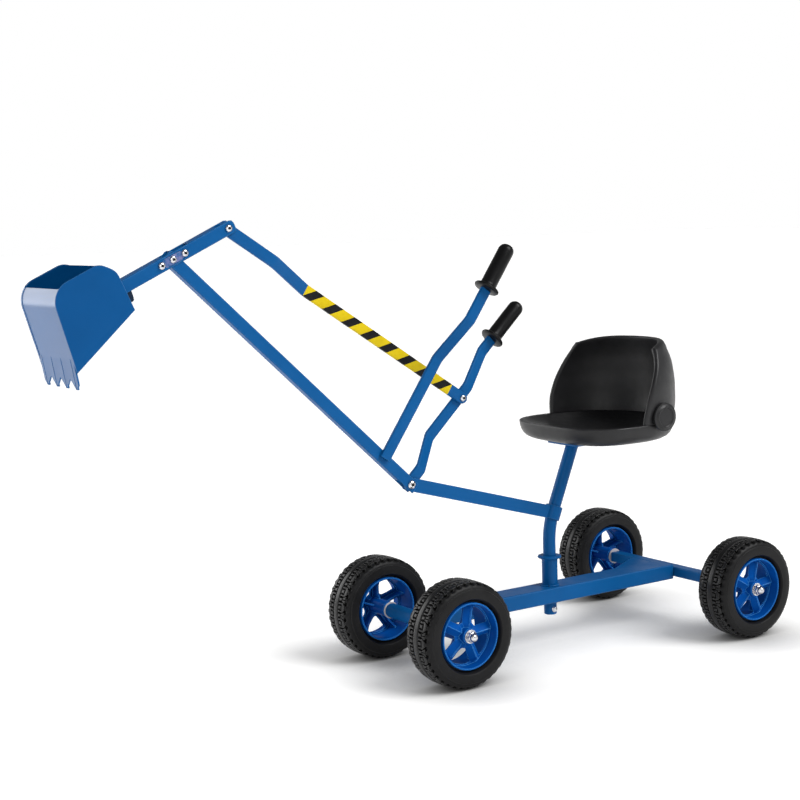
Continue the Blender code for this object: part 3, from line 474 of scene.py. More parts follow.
def tyre(name, matrix, node):
    half = [(0.0488, 0.0205), (0.0500, 0.0204), (0.0514, 0.0222), (0.0526, 0.0262), (0.0536, 0.0288),
            (0.0546, 0.0298), (0.0600, 0.0302), (0.0645, 0.0300), (0.0672, 0.0297), (0.0678, 0.0287),
            (0.0684, 0.0286), (0.0700, 0.0281), (0.0720, 0.0272), (0.0738, 0.0257), (0.0750, 0.0240),
            (0.0757, 0.0226), (0.0757, 0.0219), (0.0750, 0.0216), (0.0727, 0.0213), (0.0731, 0.0160),
            (0.0735, 0.0100), (0.0737, 0.0062), (0.0740, 0.0056), (0.0768, 0.0050), (0.0774, 0.0042),
            (0.0775, 0.0020)]
    notch = {13: 0.0010, 14: 0.0020, 15: 0.0026, 16: 0.0028, 17: 0.0024}
    profile = [(r, w, notch.get(i, 0.0)) for i, (r, w) in enumerate(half)]
    profile += [(r, -w, cut) for r, w, cut in reversed(profile)]
    count = 240
    rings = []
    for r, w, cut in profile:
        ring = []
        for k, t in enumerate(turns(count)):
            phase = (k % (count // (2 * PITCHES))) / (count // (2 * PITCHES))
            deep = cut if 0.30 < phase < 0.70 else 0.0
            ring.append(polar(r - deep, t, w))
        rings.append(ring)
    bm = loft(rings, True)
    pitch = 2 * math.pi * TYRE_R / PITCHES
    for flip in (1, -1):
        for k in range(PITCHES):
            a = pitch * (k + (0.0 if flip > 0 else 0.5))
            for shapes, shift in (([LUG_BODY] + LUG_FINGERS, 0.0), (LUG_BETWEEN, pitch / 2)):
                for shape in shapes:
                    tread_block(bm, [(x / 1000, w / 1000) for x, w in shape], a + shift, flip)
    obj = piece(name, move(bm, matrix), TYRE, node, sharp=38.0)
    # tread tops get the tread rubber; the groove floors get painted shade
    for finish in (TREAD, GROOVE_SHADE):
        obj.data.materials.append(finish)
    flat = matrix.inverted()
    for face in obj.data.polygons:
        at_ = flat @ face.center
        r = math.hypot(at_.x, at_.y)
        if abs(at_.z) < TREAD_HALF and r > GROOVE_R:
            face.material_index = 1 if r > LAND_R else 2


def rim(name, matrix, node):
    """Deep dish with five ridged spokes between see-through windows."""
    barrel = [(0.0485, 0.0256), (0.0485, -0.0256), (0.0480, -0.0266), (0.0464, -0.0267), (0.0456, -0.0258),
              (0.0452, -0.0180), (0.0449, 0.0060), (0.0449, 0.0130), (0.0451, 0.0190), (0.0455, 0.0245),
              (0.0457, 0.0262), (0.0463, 0.0270), (0.0473, 0.0272), (0.0481, 0.0267)]
    bm = lathe(barrel, 96, True)
    hub = [(0.0053, 0.0250), (0.0107, 0.0250), (0.0115, 0.0242), (0.0118, 0.0150), (0.0118, -0.0290),
           (0.0110, -0.0300), (0.0053, -0.0300)]
    lathe(hub, 48, True, bm)
    radii = [0.0112, 0.0135, 0.0165, 0.0190, 0.0196, 0.0225, 0.0270, 0.0320, 0.0370, 0.0405, 0.0418, 0.0424,
             0.0438, 0.0452]
    web = bmesh.new()
    steps = 8
    spoke_places = [2.0 * j / steps - 1.0 for j in range(steps)]      # from flank to flank
    window_places = [1.0 + j / steps for j in range(steps)]           # from this spoke to the next
    rows = []
    for r in radii:
        wide = math.asin(SPOKE_HALF / min(max(r, WEB_IN), WEB_OUT))
        into = min(max((r - 0.0165) / 0.008, 0.0), 1.0)
        out = min(max((0.0424 - r) / 0.004, 0.0), 1.0)
        verts = []
        for axis in SPOKE_AXES:
            for v in spoke_places + window_places:
                t = axis + (wide * v if v < 1.0 else wide + (SPOKE_STEP - 2 * wide) * (v - 1.0))
                ridge = (1.0 - abs(v)) if v < 1.0 else 0.0
                w = WEB_W + 0.0066 * ridge * (0.45 + 0.55 * out)
                w += 0.0030 * (1.0 - into) * (1.0 - 0.5 * ridge)
                verts.append(web.verts.new(polar(r, t, w)))
        rows.append(verts)
    for i, (a, b) in enumerate(zip(rows, rows[1:])):
        mid = (radii[i] + radii[i + 1]) / 2
        for j in range(len(a)):
            k = (j + 1) % len(a)
            place_in = j % (2 * steps)
            if place_in >= steps:
                corner = place_in in (steps, 2 * steps - 1)
                low, high = (0.0196, 0.0418) if corner else (0.0190, 0.0424)
                if low < mid < high:
                    continue
            web.faces.new((a[j], a[k], b[k], b[j]))
    bmesh.ops.recalc_face_normals(web, faces=web.faces)
    if sum(f.normal.z for f in web.faces) < 0:
        bmesh.ops.reverse_faces(web, faces=web.faces)
    bmesh.ops.solidify(web, geom=list(web.faces), thickness=0.0024)
    web.verts.sort(key=lambda v: v.co.dot(SORT_BY))     # solidify's own order varies between runs
    web.faces.sort(key=lambda f: f.calc_center_median().dot(SORT_BY))
    join(bm, web)
    for axis in SPOKE_AXES:
        rib(bm, axis)
        crest(bm, axis)
    obj = piece(name, move(bm, matrix), RIM, node, sharp=28.0)
    # the crest beads carry the painted highlight
    obj.data.materials.append(CREST_HIGHLIGHT)


def crest(bm, t):
    """The rounded top of a spoke's ridge: a bead in pale blue, a painted highlight."""
    c, n = math.cos(t), math.sin(t)
    rings = []
    for r, w, size in ((0.0125, 0.0180, 0.0002), (0.0150, 0.0190, 0.0004), (0.0200, 0.0200, 0.0006),
                       (0.0384, 0.0200, 0.0006), (0.0420, 0.0173, 0.0005), (0.0440, 0.0160, 0.0002)):
        ring = []
        for a in turns(8):
            q, rise = size * math.cos(a), size * 0.9 * math.sin(a)
            ring.append((r * c - q * n, r * n + q * c, w + rise))
        rings.append(ring)
    before = set(bm.faces)
    loft(rings, bm=bm)
    for face in bm.faces:
        if face not in before:
            face.material_index = 1


def join(bm, other):
    step = bpy.data.meshes.new("step")
    other.to_mesh(step)
    other.free()
    bm.from_mesh(step)
    bpy.data.meshes.remove(step)


def rib(bm, t):
    """A stiffening rib behind a spoke."""
    c, n = math.cos(t), math.sin(t)
    rings = []
    for r, depth in ((0.0110, 0.0160), (0.0200, 0.0120), (0.0320, 0.0120), (0.0452, 0.0180)):
        ring = []
        for side, w in ((-1, 0.0110), (1, 0.0110), (1, 0.0110 - depth), (-1, 0.0110 - depth)):
            q = side * 0.0011
            ring.append((r * c - q * n, r * n + q * c, w))
        rings.append(ring)
    loft(rings, bm=bm)


def acorn_nut(name, matrix, node):
    """A domed hex nut: chamfered hexagon, neck and polished cap."""
    r = 0.0082
    profile = [(0.0, 0.0), (r * 0.86, 0.0), (r, 0.0007, 6, r * 0.97), (r, 0.0012, 6), (r, 0.0044, 6),
               (r, 0.0050, 6, r * 0.95), (r * 0.87, 0.0055), (0.0066, 0.0058)]
    top, low = 0.0125, 0.0060
    for k in range(9):
        t = rad(90.0 * k / 8)
        profile.append((0.0064 * math.cos(t), low + (top - low) * math.sin(t)))
    piece(name, move(lathe(profile, 48), matrix), ZINC, node, sharp=35.0)


def flanged_bush(name, node, side):
    """A nylon bush with a flange against the end of the axle tube."""
    lo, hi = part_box(node)
    c = (lo + hi) / 2
    length = hi.y - lo.y
    foot = lo.y if side > 0 else hi.y
    bore, body, flange = 0.0052, 0.0085, 0.0126
    profile = [(bore, 0.0), (flange - 0.0004, 0.0), (flange, 0.0004), (flange, 0.0016),
               (flange - 0.0005, 0.0021), (body + 0.0006, 0.0022), (body, 0.0028), (body, length),
               (bore, length)]
    piece(name, move(lathe(profile, 48, True), pointing((c.x, foot, c.z), (0, side, 0))), NYLON,
          node, sharp=35.0)


for tag in ("front_left", "front_right", "rear_left", "rear_right"):
    hub_at = JOINT_AT["wheel_%s_roll" % tag]
    side = 1 if hub_at.y > 0 else -1
    upright = Matrix(((-side, 0, 0), (0, 0, 1), (0, side, 0))).transposed().to_4x4()
    stand = Matrix.Translation(hub_at) @ upright
    rolled = stand @ Matrix.Rotation(SPOKE_TURN if side > 0 else 0.0, 4, "Z")
    tyre("tread_tyre_" + tag, stand, "tyre_" + tag)
    rim("spoked_rim_" + tag, rolled, "rim_" + tag)
    lo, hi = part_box("acorn_nut_" + tag)
    foot_at = (hub_at.x, lo.y if side > 0 else hi.y, hub_at.z)
    acorn_nut("cap_nut_" + tag, pointing(foot_at, (0, side, 0)), "acorn_nut_" + tag)
    flanged_bush("flanged_bush_" + tag, "hub_bush_" + tag, side)


# -------- bolts and nuts
def dome_bolt(name, node, shaft=0.0030, head=0.0050, dome=0.0034):
    lo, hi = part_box(node)
    c = (lo + hi) / 2
    face = hi.y - dome
    length = face - lo.y
    profile = [(0.0, -length), (shaft - 0.0007, -length), (shaft, -length + 0.0008), (shaft, 0.0),
               (head * 0.97, 0.0), (head, 0.0003), (head, 0.0009)]
    for k in range(1, 7):
        t = rad(62.0 * k / 6)
        profile.append((head * math.cos(t) * 0.99,
                        0.0009 + (dome - 0.0009) * math.sin(t) / math.sin(rad(62))))
    socket = head * 0.44
    profile += [(socket * 1.08, dome), (socket, dome - 0.0002, 6), (socket * 0.92, dome - 0.0018, 6),
                (0.0, dome - 0.0021)]
    bm = lathe(profile, 36)
    obj = piece(name, move(bm, pointing((c.x, face, c.z), (0, 1, 0))), ZINC, node, sharp=35.0)
    # the hex socket's faces get painted shade
    obj.data.materials.append(SOCKET_SHADE)
    for part in obj.data.polygons:
        from_axis = math.hypot(part.center.x - c.x, part.center.z - c.z)
        if from_axis < socket and face + dome - 0.0024 < part.center.y < face + dome - 0.0001:
            part.material_index = 1


def hex_nut(name, node, across=0.0100):
    lo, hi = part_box(node)
    c = (lo + hi) / 2
    thick = hi.y - lo.y
    r = across / 2 / math.cos(math.pi / 6)
    profile = [(r * 0.30, 0.0), (r * 0.86, 0.0), (r, 0.0006, 6, r * 0.965), (r, 0.0010, 6),
               (r, thick - 0.0010, 6), (r, thick - 0.0004, 6, r * 0.95), (r * 0.84, thick), (r * 0.52, thick),
               (r * 0.46, thick - 0.0005), (r * 0.30, thick - 0.0006)]
    bm = lathe(profile, 36, True)
    turn = Matrix.Rotation(rad(30), 4, "Z")
    piece(name, move(bm, pointing((c.x, hi.y, c.z), (0, -1, 0)) @ turn), ZINC, node, sharp=35.0)


dome_bolt("base_pivot_dome_bolt", "base_pivot_bolt", 0.0040, 0.0064, 0.0042)
hex_nut("base_pivot_hex_nut", "base_pivot_nut", 0.0130)
for tag in ("elbow_pivot", "elbow_stop_upper", "elbow_stop_lower", "top_pivot", "rod_pivot"):
    dome_bolt(tag + "_dome_bolt", tag + "_bolt")
    hex_nut(tag + "_hex_nut", tag + "_nut")


# -------- levers, rod and grips
BAR_W, BAR_T = 0.0172, 0.0060
BASE = JOINT_AT["boom_raise"]
ELBOW = JOINT_AT["dipper_curl"]
ROD_PIVOT = JOINT_AT["link_rod_swing"]
TOP_PIVOT = middle("top_pivot_bolt")
LEFT_ANGLE = rad(125.2)
LEFT_LENGTH, RIGHT_LENGTH = 0.352, 0.349
GRIP_LENGTH, GRIP_BACK = 0.077, 0.065      # the grip starts this far below the bar's end
# sideways jogs of the bars: start and end along the bar, and the shift
LEFT_JOGS = [(0.168, 0.235, 0.030)]
RIGHT_JOGS = [(0.030, 0.0876, -0.0367), (0.1886, 0.2585, -0.0300)]
ROD_JOGS = [(0.0873, 0.1642, -0.0302)]


def side_angle(a, b):
    return math.atan2(b.z - a.z, b.x - a.x)


def shifted(u, jogs):
    """Sideways position along a joggled bar, its bends rounded off."""
    reach, samples = 0.0032, 7
    total = 0.0
    for k in range(samples):
        at_ = u + reach * (2.0 * k / (samples - 1) - 1.0)
        total += sum(dy * min(max((at_ - a) / (b - a), 0.0), 1.0) for a, b, dy in jogs)
    return total / samples


def flat_bar(place, start, stop, y, jogs, round_start=False, round_end=False):
    half = BAR_W / 2
    count = int((stop - start) / 0.0021)
    stations = [(start + (stop - start) * k / count, half) for k in range(count + 1)]
    ends = [(half * math.cos(rad(a)), half * math.sin(rad(a))) for a in (8, 20, 35, 50, 65, 78)]
    if round_start:
        stations += [(start - du, h) for du, h in ends]
    if round_end:
        stations += [(stop + du, h) for du, h in ends]
    rings = []
    for u, h in sorted(stations):
        mid = y + shifted(u, jogs)
        ring = []
        for v, w in rounded_rect(h, BAR_T / 2, 0.0014, 3):
            x, z = place(u, v)
            ring.append((x, mid + w, z))
        rings.append(ring)
    return loft(rings)


def grip(name, node, place, station):
    """A round vinyl grip with a guard disc, its end domed."""
    length = GRIP_LENGTH
    foot, tip = place(station, 0.0), place(station + length, 0.0)
    axis = Vector((tip[0] - foot[0], 0.0, tip[1] - foot[1])).normalized()
    r, dome = 0.0120, 0.0110
    profile = [(0.0, 0.0), (0.0152, 0.0), (0.0178, 0.0007), (0.0190, 0.0021), (0.0191, 0.0034),
               (0.0184, 0.0047), (0.0160, 0.0058), (0.0135, 0.0068), (0.0124, 0.0082), (r, 0.0105),
               (r, 0.0300), (r, 0.0500), (r, length - dome)]
    for k in range(1, 8):
        t = rad(90.0 * k / 7)
        profile.append((r * math.cos(t) ** 0.8 if k < 7 else 0.0, length - dome + dome * math.sin(t)))
    foot_at = (foot[0], middle(node).y, foot[1])
    piece(name, move(lathe(profile, 48), pointing(foot_at, axis)), GRIP, node, sharp=40.0)


lo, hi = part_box("left_lever")
left_foot = (hi.x - BAR_W / 2 * math.sin(LEFT_ANGLE), lo.z - BAR_W / 2 * math.cos(LEFT_ANGLE))
left_place = side_frame(left_foot, LEFT_ANGLE)
painted("left_lever_bar", flat_bar(left_place, 0.0, LEFT_LENGTH, lo.y + BAR_T / 2, LEFT_JOGS), "left_lever",
        sharp=32.0)
grip("left_lever_grip", "left_grip", left_place, LEFT_LENGTH - GRIP_BACK)

right_place = side_frame((BASE.x, BASE.z), side_angle(BASE, ROD_PIVOT))
painted("right_lever_bar", flat_bar(right_place, 0.0, RIGHT_LENGTH, 0.0, RIGHT_JOGS, True), "right_lever",
        sharp=32.0)
grip("right_lever_grip", "right_grip", right_place, RIGHT_LENGTH - GRIP_BACK)

rod_angle = side_angle(TOP_PIVOT, ROD_PIVOT)
rod_place = side_frame((TOP_PIVOT.x, TOP_PIVOT.z), rod_angle)
rod_length = math.hypot(ROD_PIVOT.x - TOP_PIVOT.x, ROD_PIVOT.z - TOP_PIVOT.z)
rod_along = Vector((math.cos(rod_angle), 0.0, math.sin(rod_angle)))
rod_up = Vector((math.sin(rod_angle), 0.0, -math.cos(rod_angle)))
STRIPES = hazard_stripes("hazard_stripes", Vector((TOP_PIVOT.x, 0.0, TOP_PIVOT.z)), rod_along, rod_up)
piece("striped_link_rod", flat_bar(rod_place, 0.0, rod_length, 0.0, ROD_JOGS, True, True), STRIPES,
      "link_rod")


# -------- seat
SWIVEL = JOINT_AT["upper_swivel"]
PAN_LO, PAN_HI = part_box("seat_pan")
BACK_LO, BACK_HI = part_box("seat_back")
BACK_X = SWIVEL.x - 0.1080
BACK_A, BACK_B, BACK_WALL = 0.1170, 0.1190, 0.0085
PAN_FRONT = 0.1120


def pan_outline(count):
    """Squarish in front, an ellipse behind."""
    points = []
    for k in range(count):
        t = 2 * math.pi * (k + 0.5) / count
        c, n = math.cos(t), math.sin(t)
        if c > 0:
            points.append((PAN_FRONT * c ** 0.62, BACK_B * math.copysign(abs(n) ** 0.62, n)))
        else:
            points.append((BACK_A * c, BACK_B * n))
    return points


def seat_pan():
    rim_h = PAN_HI.z - PAN_LO.z
    shell = [(0.755, 0.0), (0.79, 0.0004), (0.84, 0.0020), (0.895, 0.0052), (0.930, 0.0095), (0.952, 0.0145),
             (0.966, 0.0205), (0.974, rim_h - 0.0030), (0.974, rim_h - 0.0010), (0.966, rim_h),
             (0.915, rim_h), (0.895, rim_h - 0.0006), (0.865, rim_h - 0.0022), (0.80, rim_h - 0.0050),
             (0.70, rim_h - 0.0080), (0.55, rim_h - 0.0106), (0.35, rim_h - 0.0120), (0.12, rim_h - 0.0125)]
    rings = [[(BACK_X + dx * f, dy * f, PAN_LO.z + h) for dx, dy in pan_outline(96)] for f, h in shell]
    piece("seat_pan_shell", loft(rings), SEAT, "seat_pan", sharp=45.0)


def back_edge(z):
    """Plan angle of the back's front edges: furthest forward at the foot."""
    f = (z - PAN_HI.z) / (BACK_HI.z - PAN_HI.z)
    return rad(93.0 - 27.0 * f * f * (1.6 - 0.6 * f))


SECTION = ((0.0, 0.0035), (0.22, 0.0), (0.50, 0.0005), (0.74, 0.0050), (0.91, 0.0130), (1.0, 0.0210))
ROLL_FROM = 0.975      # share of the height where the top edge starts to roll over


def section(h):
    """How far the shell leans in at a share h of its height, smoothly."""
    total = 0.0
    for k in range(7):
        q = min(max(h + 0.06 * (k / 3.0 - 1.0), 0.0), 1.0)
        for (h0, d0), (h1, d1) in zip(SECTION, SECTION[1:]):
            if q <= h1:
                total += d0 + (d1 - d0) * (q - h0) / (h1 - h0)
                break
    return total / 7


def seat_back():
    """A thin moulded shell with a rolled rim and rounded front edges."""
    foot = BACK_LO.z
    steps = 64
    fans = [(-1.0, rad(a)) for a in (90, 65, 40, 20)]
    fans += [(2.0 * k / steps - 1.0, 0.0) for k in range(steps + 1)]
    fans += [(1.0, rad(a)) for a in (20, 40, 65, 90)]
    rings = []
    levels = [k / 22.0 for k in range(23)]
    for f, bulge in fans:
        slim = max(math.cos(bulge), 0.04)
        reach = BACK_WALL / 2 * math.sin(bulge) / BACK_A * (1 if f > 0 else -1)
        rise = BACK_HI.z - 0.010 * f ** 4 - foot

        def spot(h, depth):
            """depth runs from 0 outside to 1 inside."""
            rim_roll = 0.0014 * smooth_step((h - 0.90) / 0.03) * (1 - depth)
            z = foot + rise * h
            t = f * back_edge(min(z, BACK_HI.z)) + reach
            inset = section(h) - rim_roll + BACK_WALL * (0.5 + (depth - 0.5) * slim)
            return (BACK_X - (BACK_A - inset) * math.cos(t), (BACK_B - inset) * math.sin(t), z)

        ring = [spot(h * ROLL_FROM, 0.0) for h in levels]
        ring += [spot(ROLL_FROM + (1.0 - ROLL_FROM) * math.sin(t), 0.5 - 0.5 * math.cos(t))
                 for t in map(rad, (20, 45, 70, 90, 110, 135, 160))]
        ring += [spot(h * ROLL_FROM, 1.0) for h in reversed(levels)]
        rings.append(ring)
    piece("seat_back_shell", loft(rings), SEAT, "seat_back", sharp=45.0)


def seat_boss(name, node):
    lo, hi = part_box(node)
    side = 1 if lo.y > 0 else -1
    c = (lo + hi) / 2
    r = (hi.x - lo.x) / 2
    face = lo.y if side > 0 else hi.y
    profile = [(0.0, 0.0), (r * 0.985, 0.0), (r, 0.0006), (r, 0.0026), (r * 0.975, 0.0036),
               (r * 0.80, 0.0042), (r * 0.77, 0.0050), (r * 0.73, 0.0056), (r * 0.68, 0.0056),
               (r * 0.64, 0.0050), (r * 0.62, 0.0043), (r * 0.40, 0.0046), (r * 0.20, 0.0047), (0.0, 0.0047)]
    bm = lathe(profile, 64)
    piece(name, move(bm, pointing((c.x, face, c.z), (0, side, 0))), SEAT, node, sharp=45.0)


seat_pan()
seat_back()
seat_boss("seat_disc_left", "seat_boss_left")
seat_boss("seat_disc_right", "seat_boss_right")


# -------- post, socket and axle tube
POST_R = 0.00985
POST_LEAN = rad(22.5)
POST_BEND_Z = 0.185


def post_centre(z):
    """x of the post's axis at height z, through a swept bend."""
    reach, samples = 0.026, 15
    total = 0.0
    for k in range(samples):
        q = z + reach * (2.0 * k / (samples - 1) - 1.0)
        total -= max(q - POST_BEND_Z, 0.0) * math.tan(POST_LEAN)
    return SWIVEL.x + total / samples


def seat_post():
    lo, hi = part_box("seat_post")
    rise = hi.z - lo.z - 0.0010
    heights = [lo.z, lo.z + 0.0004] + [lo.z + 0.0010 + rise * k / 60 for k in range(61)]
    rings = []
    for i, z in enumerate(heights):
        slope = (post_centre(z + 0.001) - post_centre(z - 0.001)) / 0.002
        lean = math.atan(slope)
        r = POST_R - (0.0010, 0.0003, 0.0)[min(i, 2)]
        rings.append([(post_centre(z) + r / math.cos(lean) * math.cos(t), r * math.sin(t), z)
                      for t in turns(40)])
    painted("bent_seat_post", loft(rings), "seat_post")


def swivel_socket():
    """A tube through the beam with a rolled ring round its mouth."""
    lo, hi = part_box("swivel_socket")
    bore, wall, ring_r = 0.01015, 0.01225, 0.0185
    top = hi.z
    profile = [(bore, top - 0.0006), (bore + 0.0006, top), (ring_r - 0.0024, top),
               (ring_r - 0.0009, top - 0.0005), (ring_r, top - 0.0017), (ring_r, top - 0.0027),
               (ring_r - 0.0008, top - 0.0040), (ring_r - 0.0026, top - 0.0047),
               (wall + 0.0016, top - 0.0056), (wall, top - 0.0076), (wall, lo.z), (bore, lo.z)]
    bm = lathe(profile, 56, True)
    painted("swivel_socket_tube", move(bm, Matrix.Translation((SWIVEL.x, SWIVEL.y, 0.0))), "swivel_socket")


def tube(bore, r, half, chamfer, count):
    """A turned tube about Z, half to each side of the origin, its outer edges chamfered."""
    return lathe([(bore, -half), (r - chamfer, -half), (r, -half + chamfer), (r, 0.0), (r, half - chamfer),
                  (r - chamfer, half), (bore, half)], count, True)


def front_axle_tube():
    lo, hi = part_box("front_axle_tube")
    bm = tube(0.0056, (hi.x - lo.x) / 2, (hi.y - lo.y) / 2, 0.0006, 48)
    painted("front_axle_sleeve", move(bm, pointing((lo + hi) / 2, (0, 1, 0))), "front_axle_tube")


seat_post()
swivel_socket()
front_axle_tube()


# -------- bucket
BUCKET_W, PLATE, INSET = 0.110, 0.0020, 0.0007
CHEEK_EXTRA = 0.0022         # the side plates stand out this much more than in the CAD
FOLD_HEIGHT = 0.0190         # the teeth's folds start this far above the panel's end
FACES_UP, FACES_FRONT = 0.62, 0.80      # normals that tell the bucket's top and front
X0 = SWIVEL.x
OUTLINE = [(0.7894, 0.4881), (0.8153, 0.5768), (0.8081, 0.5972), (0.7540, 0.6222), (0.7308, 0.6120),
           (0.7081, 0.5622)]
CORNERS = [0.0, 0.0285, 0.0285, 0.022, 0.020, 0.0]
LIP = (0.7868, 0.4662)
TOOTH_PITCH, TOOTH_DEPTH = 0.031, 0.0140


def round_corners(points, radii, steps):
    out = []
    count = len(points)
    for i, (p, r) in enumerate(zip(points, radii)):
        here = Vector(p)
        if r == 0.0:
            out.append(here)
            continue
        before = (Vector(points[i - 1]) - here).normalized()
        after = (Vector(points[(i + 1) % count]) - here).normalized()
        half = before.angle(after) / 2
        centre = here + (before + after).normalized() * r / math.sin(half)
        start = here + before * r / math.tan(half) - centre
        sweep = start.angle_signed(here + after * r / math.tan(half) - centre)
        for k in range(steps + 1):
            a = -sweep * k / steps
            out.append(centre + Vector((start.x * math.cos(a) - start.y * math.sin(a),
                                        start.x * math.sin(a) + start.y * math.cos(a))))
    return out


def normals_of(points):
    """Left-hand normals of an open path, averaged at its corners."""
    out = []
    for i, p in enumerate(points):
        dirs = [(points[j + 1] - points[j]).normalized() for j in (i - 1, i) if 0 <= j < len(points) - 1]
        mid = sum((Vector((-d.y, d.x)) for d in dirs), Vector((0.0, 0.0))).normalized()
        out.append(mid / max(mid.dot(Vector((-dirs[0].y, dirs[0].x))), 0.5))
    return out


def second_finish(obj, finish, chosen):
    """Give another finish to the faces whose normal passes chosen."""
    obj.data.materials.append(finish)
    for face in obj.data.polygons:
        if chosen(face.normal):
            face.material_index = len(obj.data.materials) - 1


def bucket_wrap():
    """Front panel with folded teeth, rolled over the top and down the back in one plate."""
    bent = round_corners(OUTLINE, CORNERS, 8)
    edge, tip = Vector(OUTLINE[0]), Vector(LIP)
    start = edge + (Vector(OUTLINE[1]) - edge).normalized() * FOLD_HEIGHT
    root = 0.46
    notch = TOOTH_DEPTH / (tip - start).length
    panel = [1.0, 0.94, 0.82, 0.65, root, 0.36, 0.24, 0.10, 0.0]
    path = [start.lerp(tip, share) for share in panel]
    rest = bent[1:]
    full = path + [rest[0]]
    for a, b in zip(rest, rest[1:]):
        count = max(1, int((b - a).length / 0.012))
        full += [a.lerp(b, (k + 1) / count) for k in range(count)]
    normals = normals_of(full)
    half = BUCKET_W / 2 - 0.0006
    marks = {-half, half}
    for k in range(-7, 8):
        for extra in (-0.0010, 0.0, 0.0010):
            y = k * TOOTH_PITCH / 2 + (extra if k % 2 else 0.0)
            if abs(y) < half - 0.0012:
                marks.add(round(y, 6))
    marks = sorted(marks)

    def spot(i, y, depth):
        """A point of the wrap; depth is measured in from the side plates' edge."""
        saw = abs(((y / TOOTH_PITCH) % 1.0) - 0.5) * 2.0
        p, n = full[i], normals[i]
        lift = 0.0
        if i < len(panel):
            share = panel[i]
            if share > root:
                share -= notch * saw * (share - root) / (1.0 - root)
            p = start.lerp(tip, share)
            crease = max(1.0 - saw * TOOTH_PITCH / 2 / 0.0010, 0.0)
            lift = 0.0012 * share * (1.0 - saw) - 0.0019 * crease * min(share * 6.0, 1.0)
        q = p + n * (depth - lift)
        return Vector((X0 + q.x, y, q.y))

    rings = []
    for i in range(len(full)):
        outside = [spot(i, y, INSET) for y in marks]
        inside = [spot(i, y, INSET + PLATE) for y in reversed(marks)]
        rings.append(outside + inside)
    bm = loft(rings, caps=(False, False))
    bm.verts.ensure_lookup_table()
    wide = len(marks)
    for first in (0, (len(rings) - 1) * 2 * wide):
        for j in range(wide - 1):
            far = first + 2 * wide - 1 - j
            bm.faces.new([bm.verts[k] for k in (first + j, first + j + 1, far - 1, far)])
    obj = piece("bucket_shell", bm, BUCKET_COAT, "bucket_wrap", sharp=17.0)
    second_finish(obj, COAT, lambda n: n.x < FACES_FRONT)
    # upward faces get painted shade
    second_finish(obj, BUCKET_TOP_SHADE, lambda n: n.z > FACES_UP)


def bucket_side(name, node):
    lo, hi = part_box(node)
    outline = round_corners(OUTLINE, CORNERS, 8)
    centre = sum(outline, Vector((0.0, 0.0))) / len(outline)
    rings = []
    side = 1 if lo.y > 0 else -1
    outer, inner = (hi.y, lo.y) if side > 0 else (lo.y, hi.y)
    outer += side * CHEEK_EXTRA
    for y, trim in ((inner, 0.0003), (inner + side * 0.0003, 0.0), (outer - side * 0.0004, 0.0),
                    (outer, 0.0006)):
        ring = []
        for p in outline:
            q = p + (centre - p).normalized() * trim
            ring.append((X0 + q.x, y, q.y))
        rings.append(ring)
    obj = piece(name, loft(rings), BUCKET_COAT, node, sharp=30.0)
    # flat side faces get the darker coat, painted shade
    second_finish(obj, BUCKET_SIDE_SHADE, lambda n: abs(n.y) > 0.9)
    # upward faces get painted shade
    second_finish(obj, BUCKET_TOP_SHADE, lambda n: n.z > FACES_UP)


bucket_wrap()
bucket_side("bucket_cheek_left", "bucket_side_left")
bucket_side("bucket_cheek_right", "bucket_side_right")


def bucket_stop_tab():
    """A dark stop tab between the dipper's underside and the bucket's back."""
    tab = [(0.6895, 0.5865), (0.6862, 0.5760), (0.6856, 0.5725), (0.6872, 0.5700), (0.6905, 0.5692),
           (0.7110, 0.5680), (0.7180, 0.5830), (0.7150, 0.5900)]
    rings = []
    for y, trim in ((-0.0070, 0.0006), (-0.0064, 0.0), (0.0064, 0.0), (0.0070, 0.0006)):
        rings.append([(X0 + x + (trim if x < 0.70 else 0.0), y, z) for x, z in tab])
    piece("bucket_stop_tab", loft(rings), DARK, body="dipper_group", sharp=40.0)


bucket_stop_tab()


def elbow_plate():
    """A reinforcing plate under the elbow's three bolt heads; its lilac patches are a painted reflection."""
    upper, lower = middle("elbow_stop_upper_bolt"), middle("elbow_stop_lower_bolt")
    place = side_frame((ELBOW.x, ELBOW.z), side_angle(lower, upper))
    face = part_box("dipper")[1].y
    rings = []
    for y, trim in ((face - 0.0006, 0.0), (face + 0.0002, 0.0), (face + 0.0005, 0.0004)):
        outline = [place(u, v) for u, v in rounded_rect(0.0155 - trim, 0.0058 - trim, 0.004)]
        rings.append([(x, y, z) for x, z in outline])
    piece("elbow_reflection_plate", loft(rings), LILAC_REFLECTION, body="dipper_group", sharp=40.0)


elbow_plate()


# -------- small fabricated details
beam_lo, beam_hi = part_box("main_beam")
bar_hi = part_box("rear_crossbar")[1]
half_beam = beam_hi.y - 0.0030


def weld_ring(name, z, ring_radius, radius):
    """A bead round the socket."""
    bead(name, [Vector((SWIVEL.x + ring_radius * math.cos(t), ring_radius * math.sin(t), z))
                for t in turns(44)], radius)


def weld_across(name, x, z, radius):
    """A straight bead across the beam's width."""
    line = [Vector((x, -half_beam + 2 * half_beam * k / 26, z)) for k in range(27)]
    bead(name, line, radius, closed=False, lift=(0, 0, 1))


weld_ring("weld_socket_beam", beam_hi.z + 0.0006, 0.0132, 0.0017)
weld_ring("weld_socket_beam_under", beam_lo.z - 0.0004, 0.0128, 0.0011)
weld_across("weld_axle_tube_top", beam_hi.x - 0.0004, beam_hi.z - 0.0010, 0.0016)
weld_across("weld_crossbar_top", bar_hi.x + 0.0003, bar_hi.z + 0.0002, 0.0015)

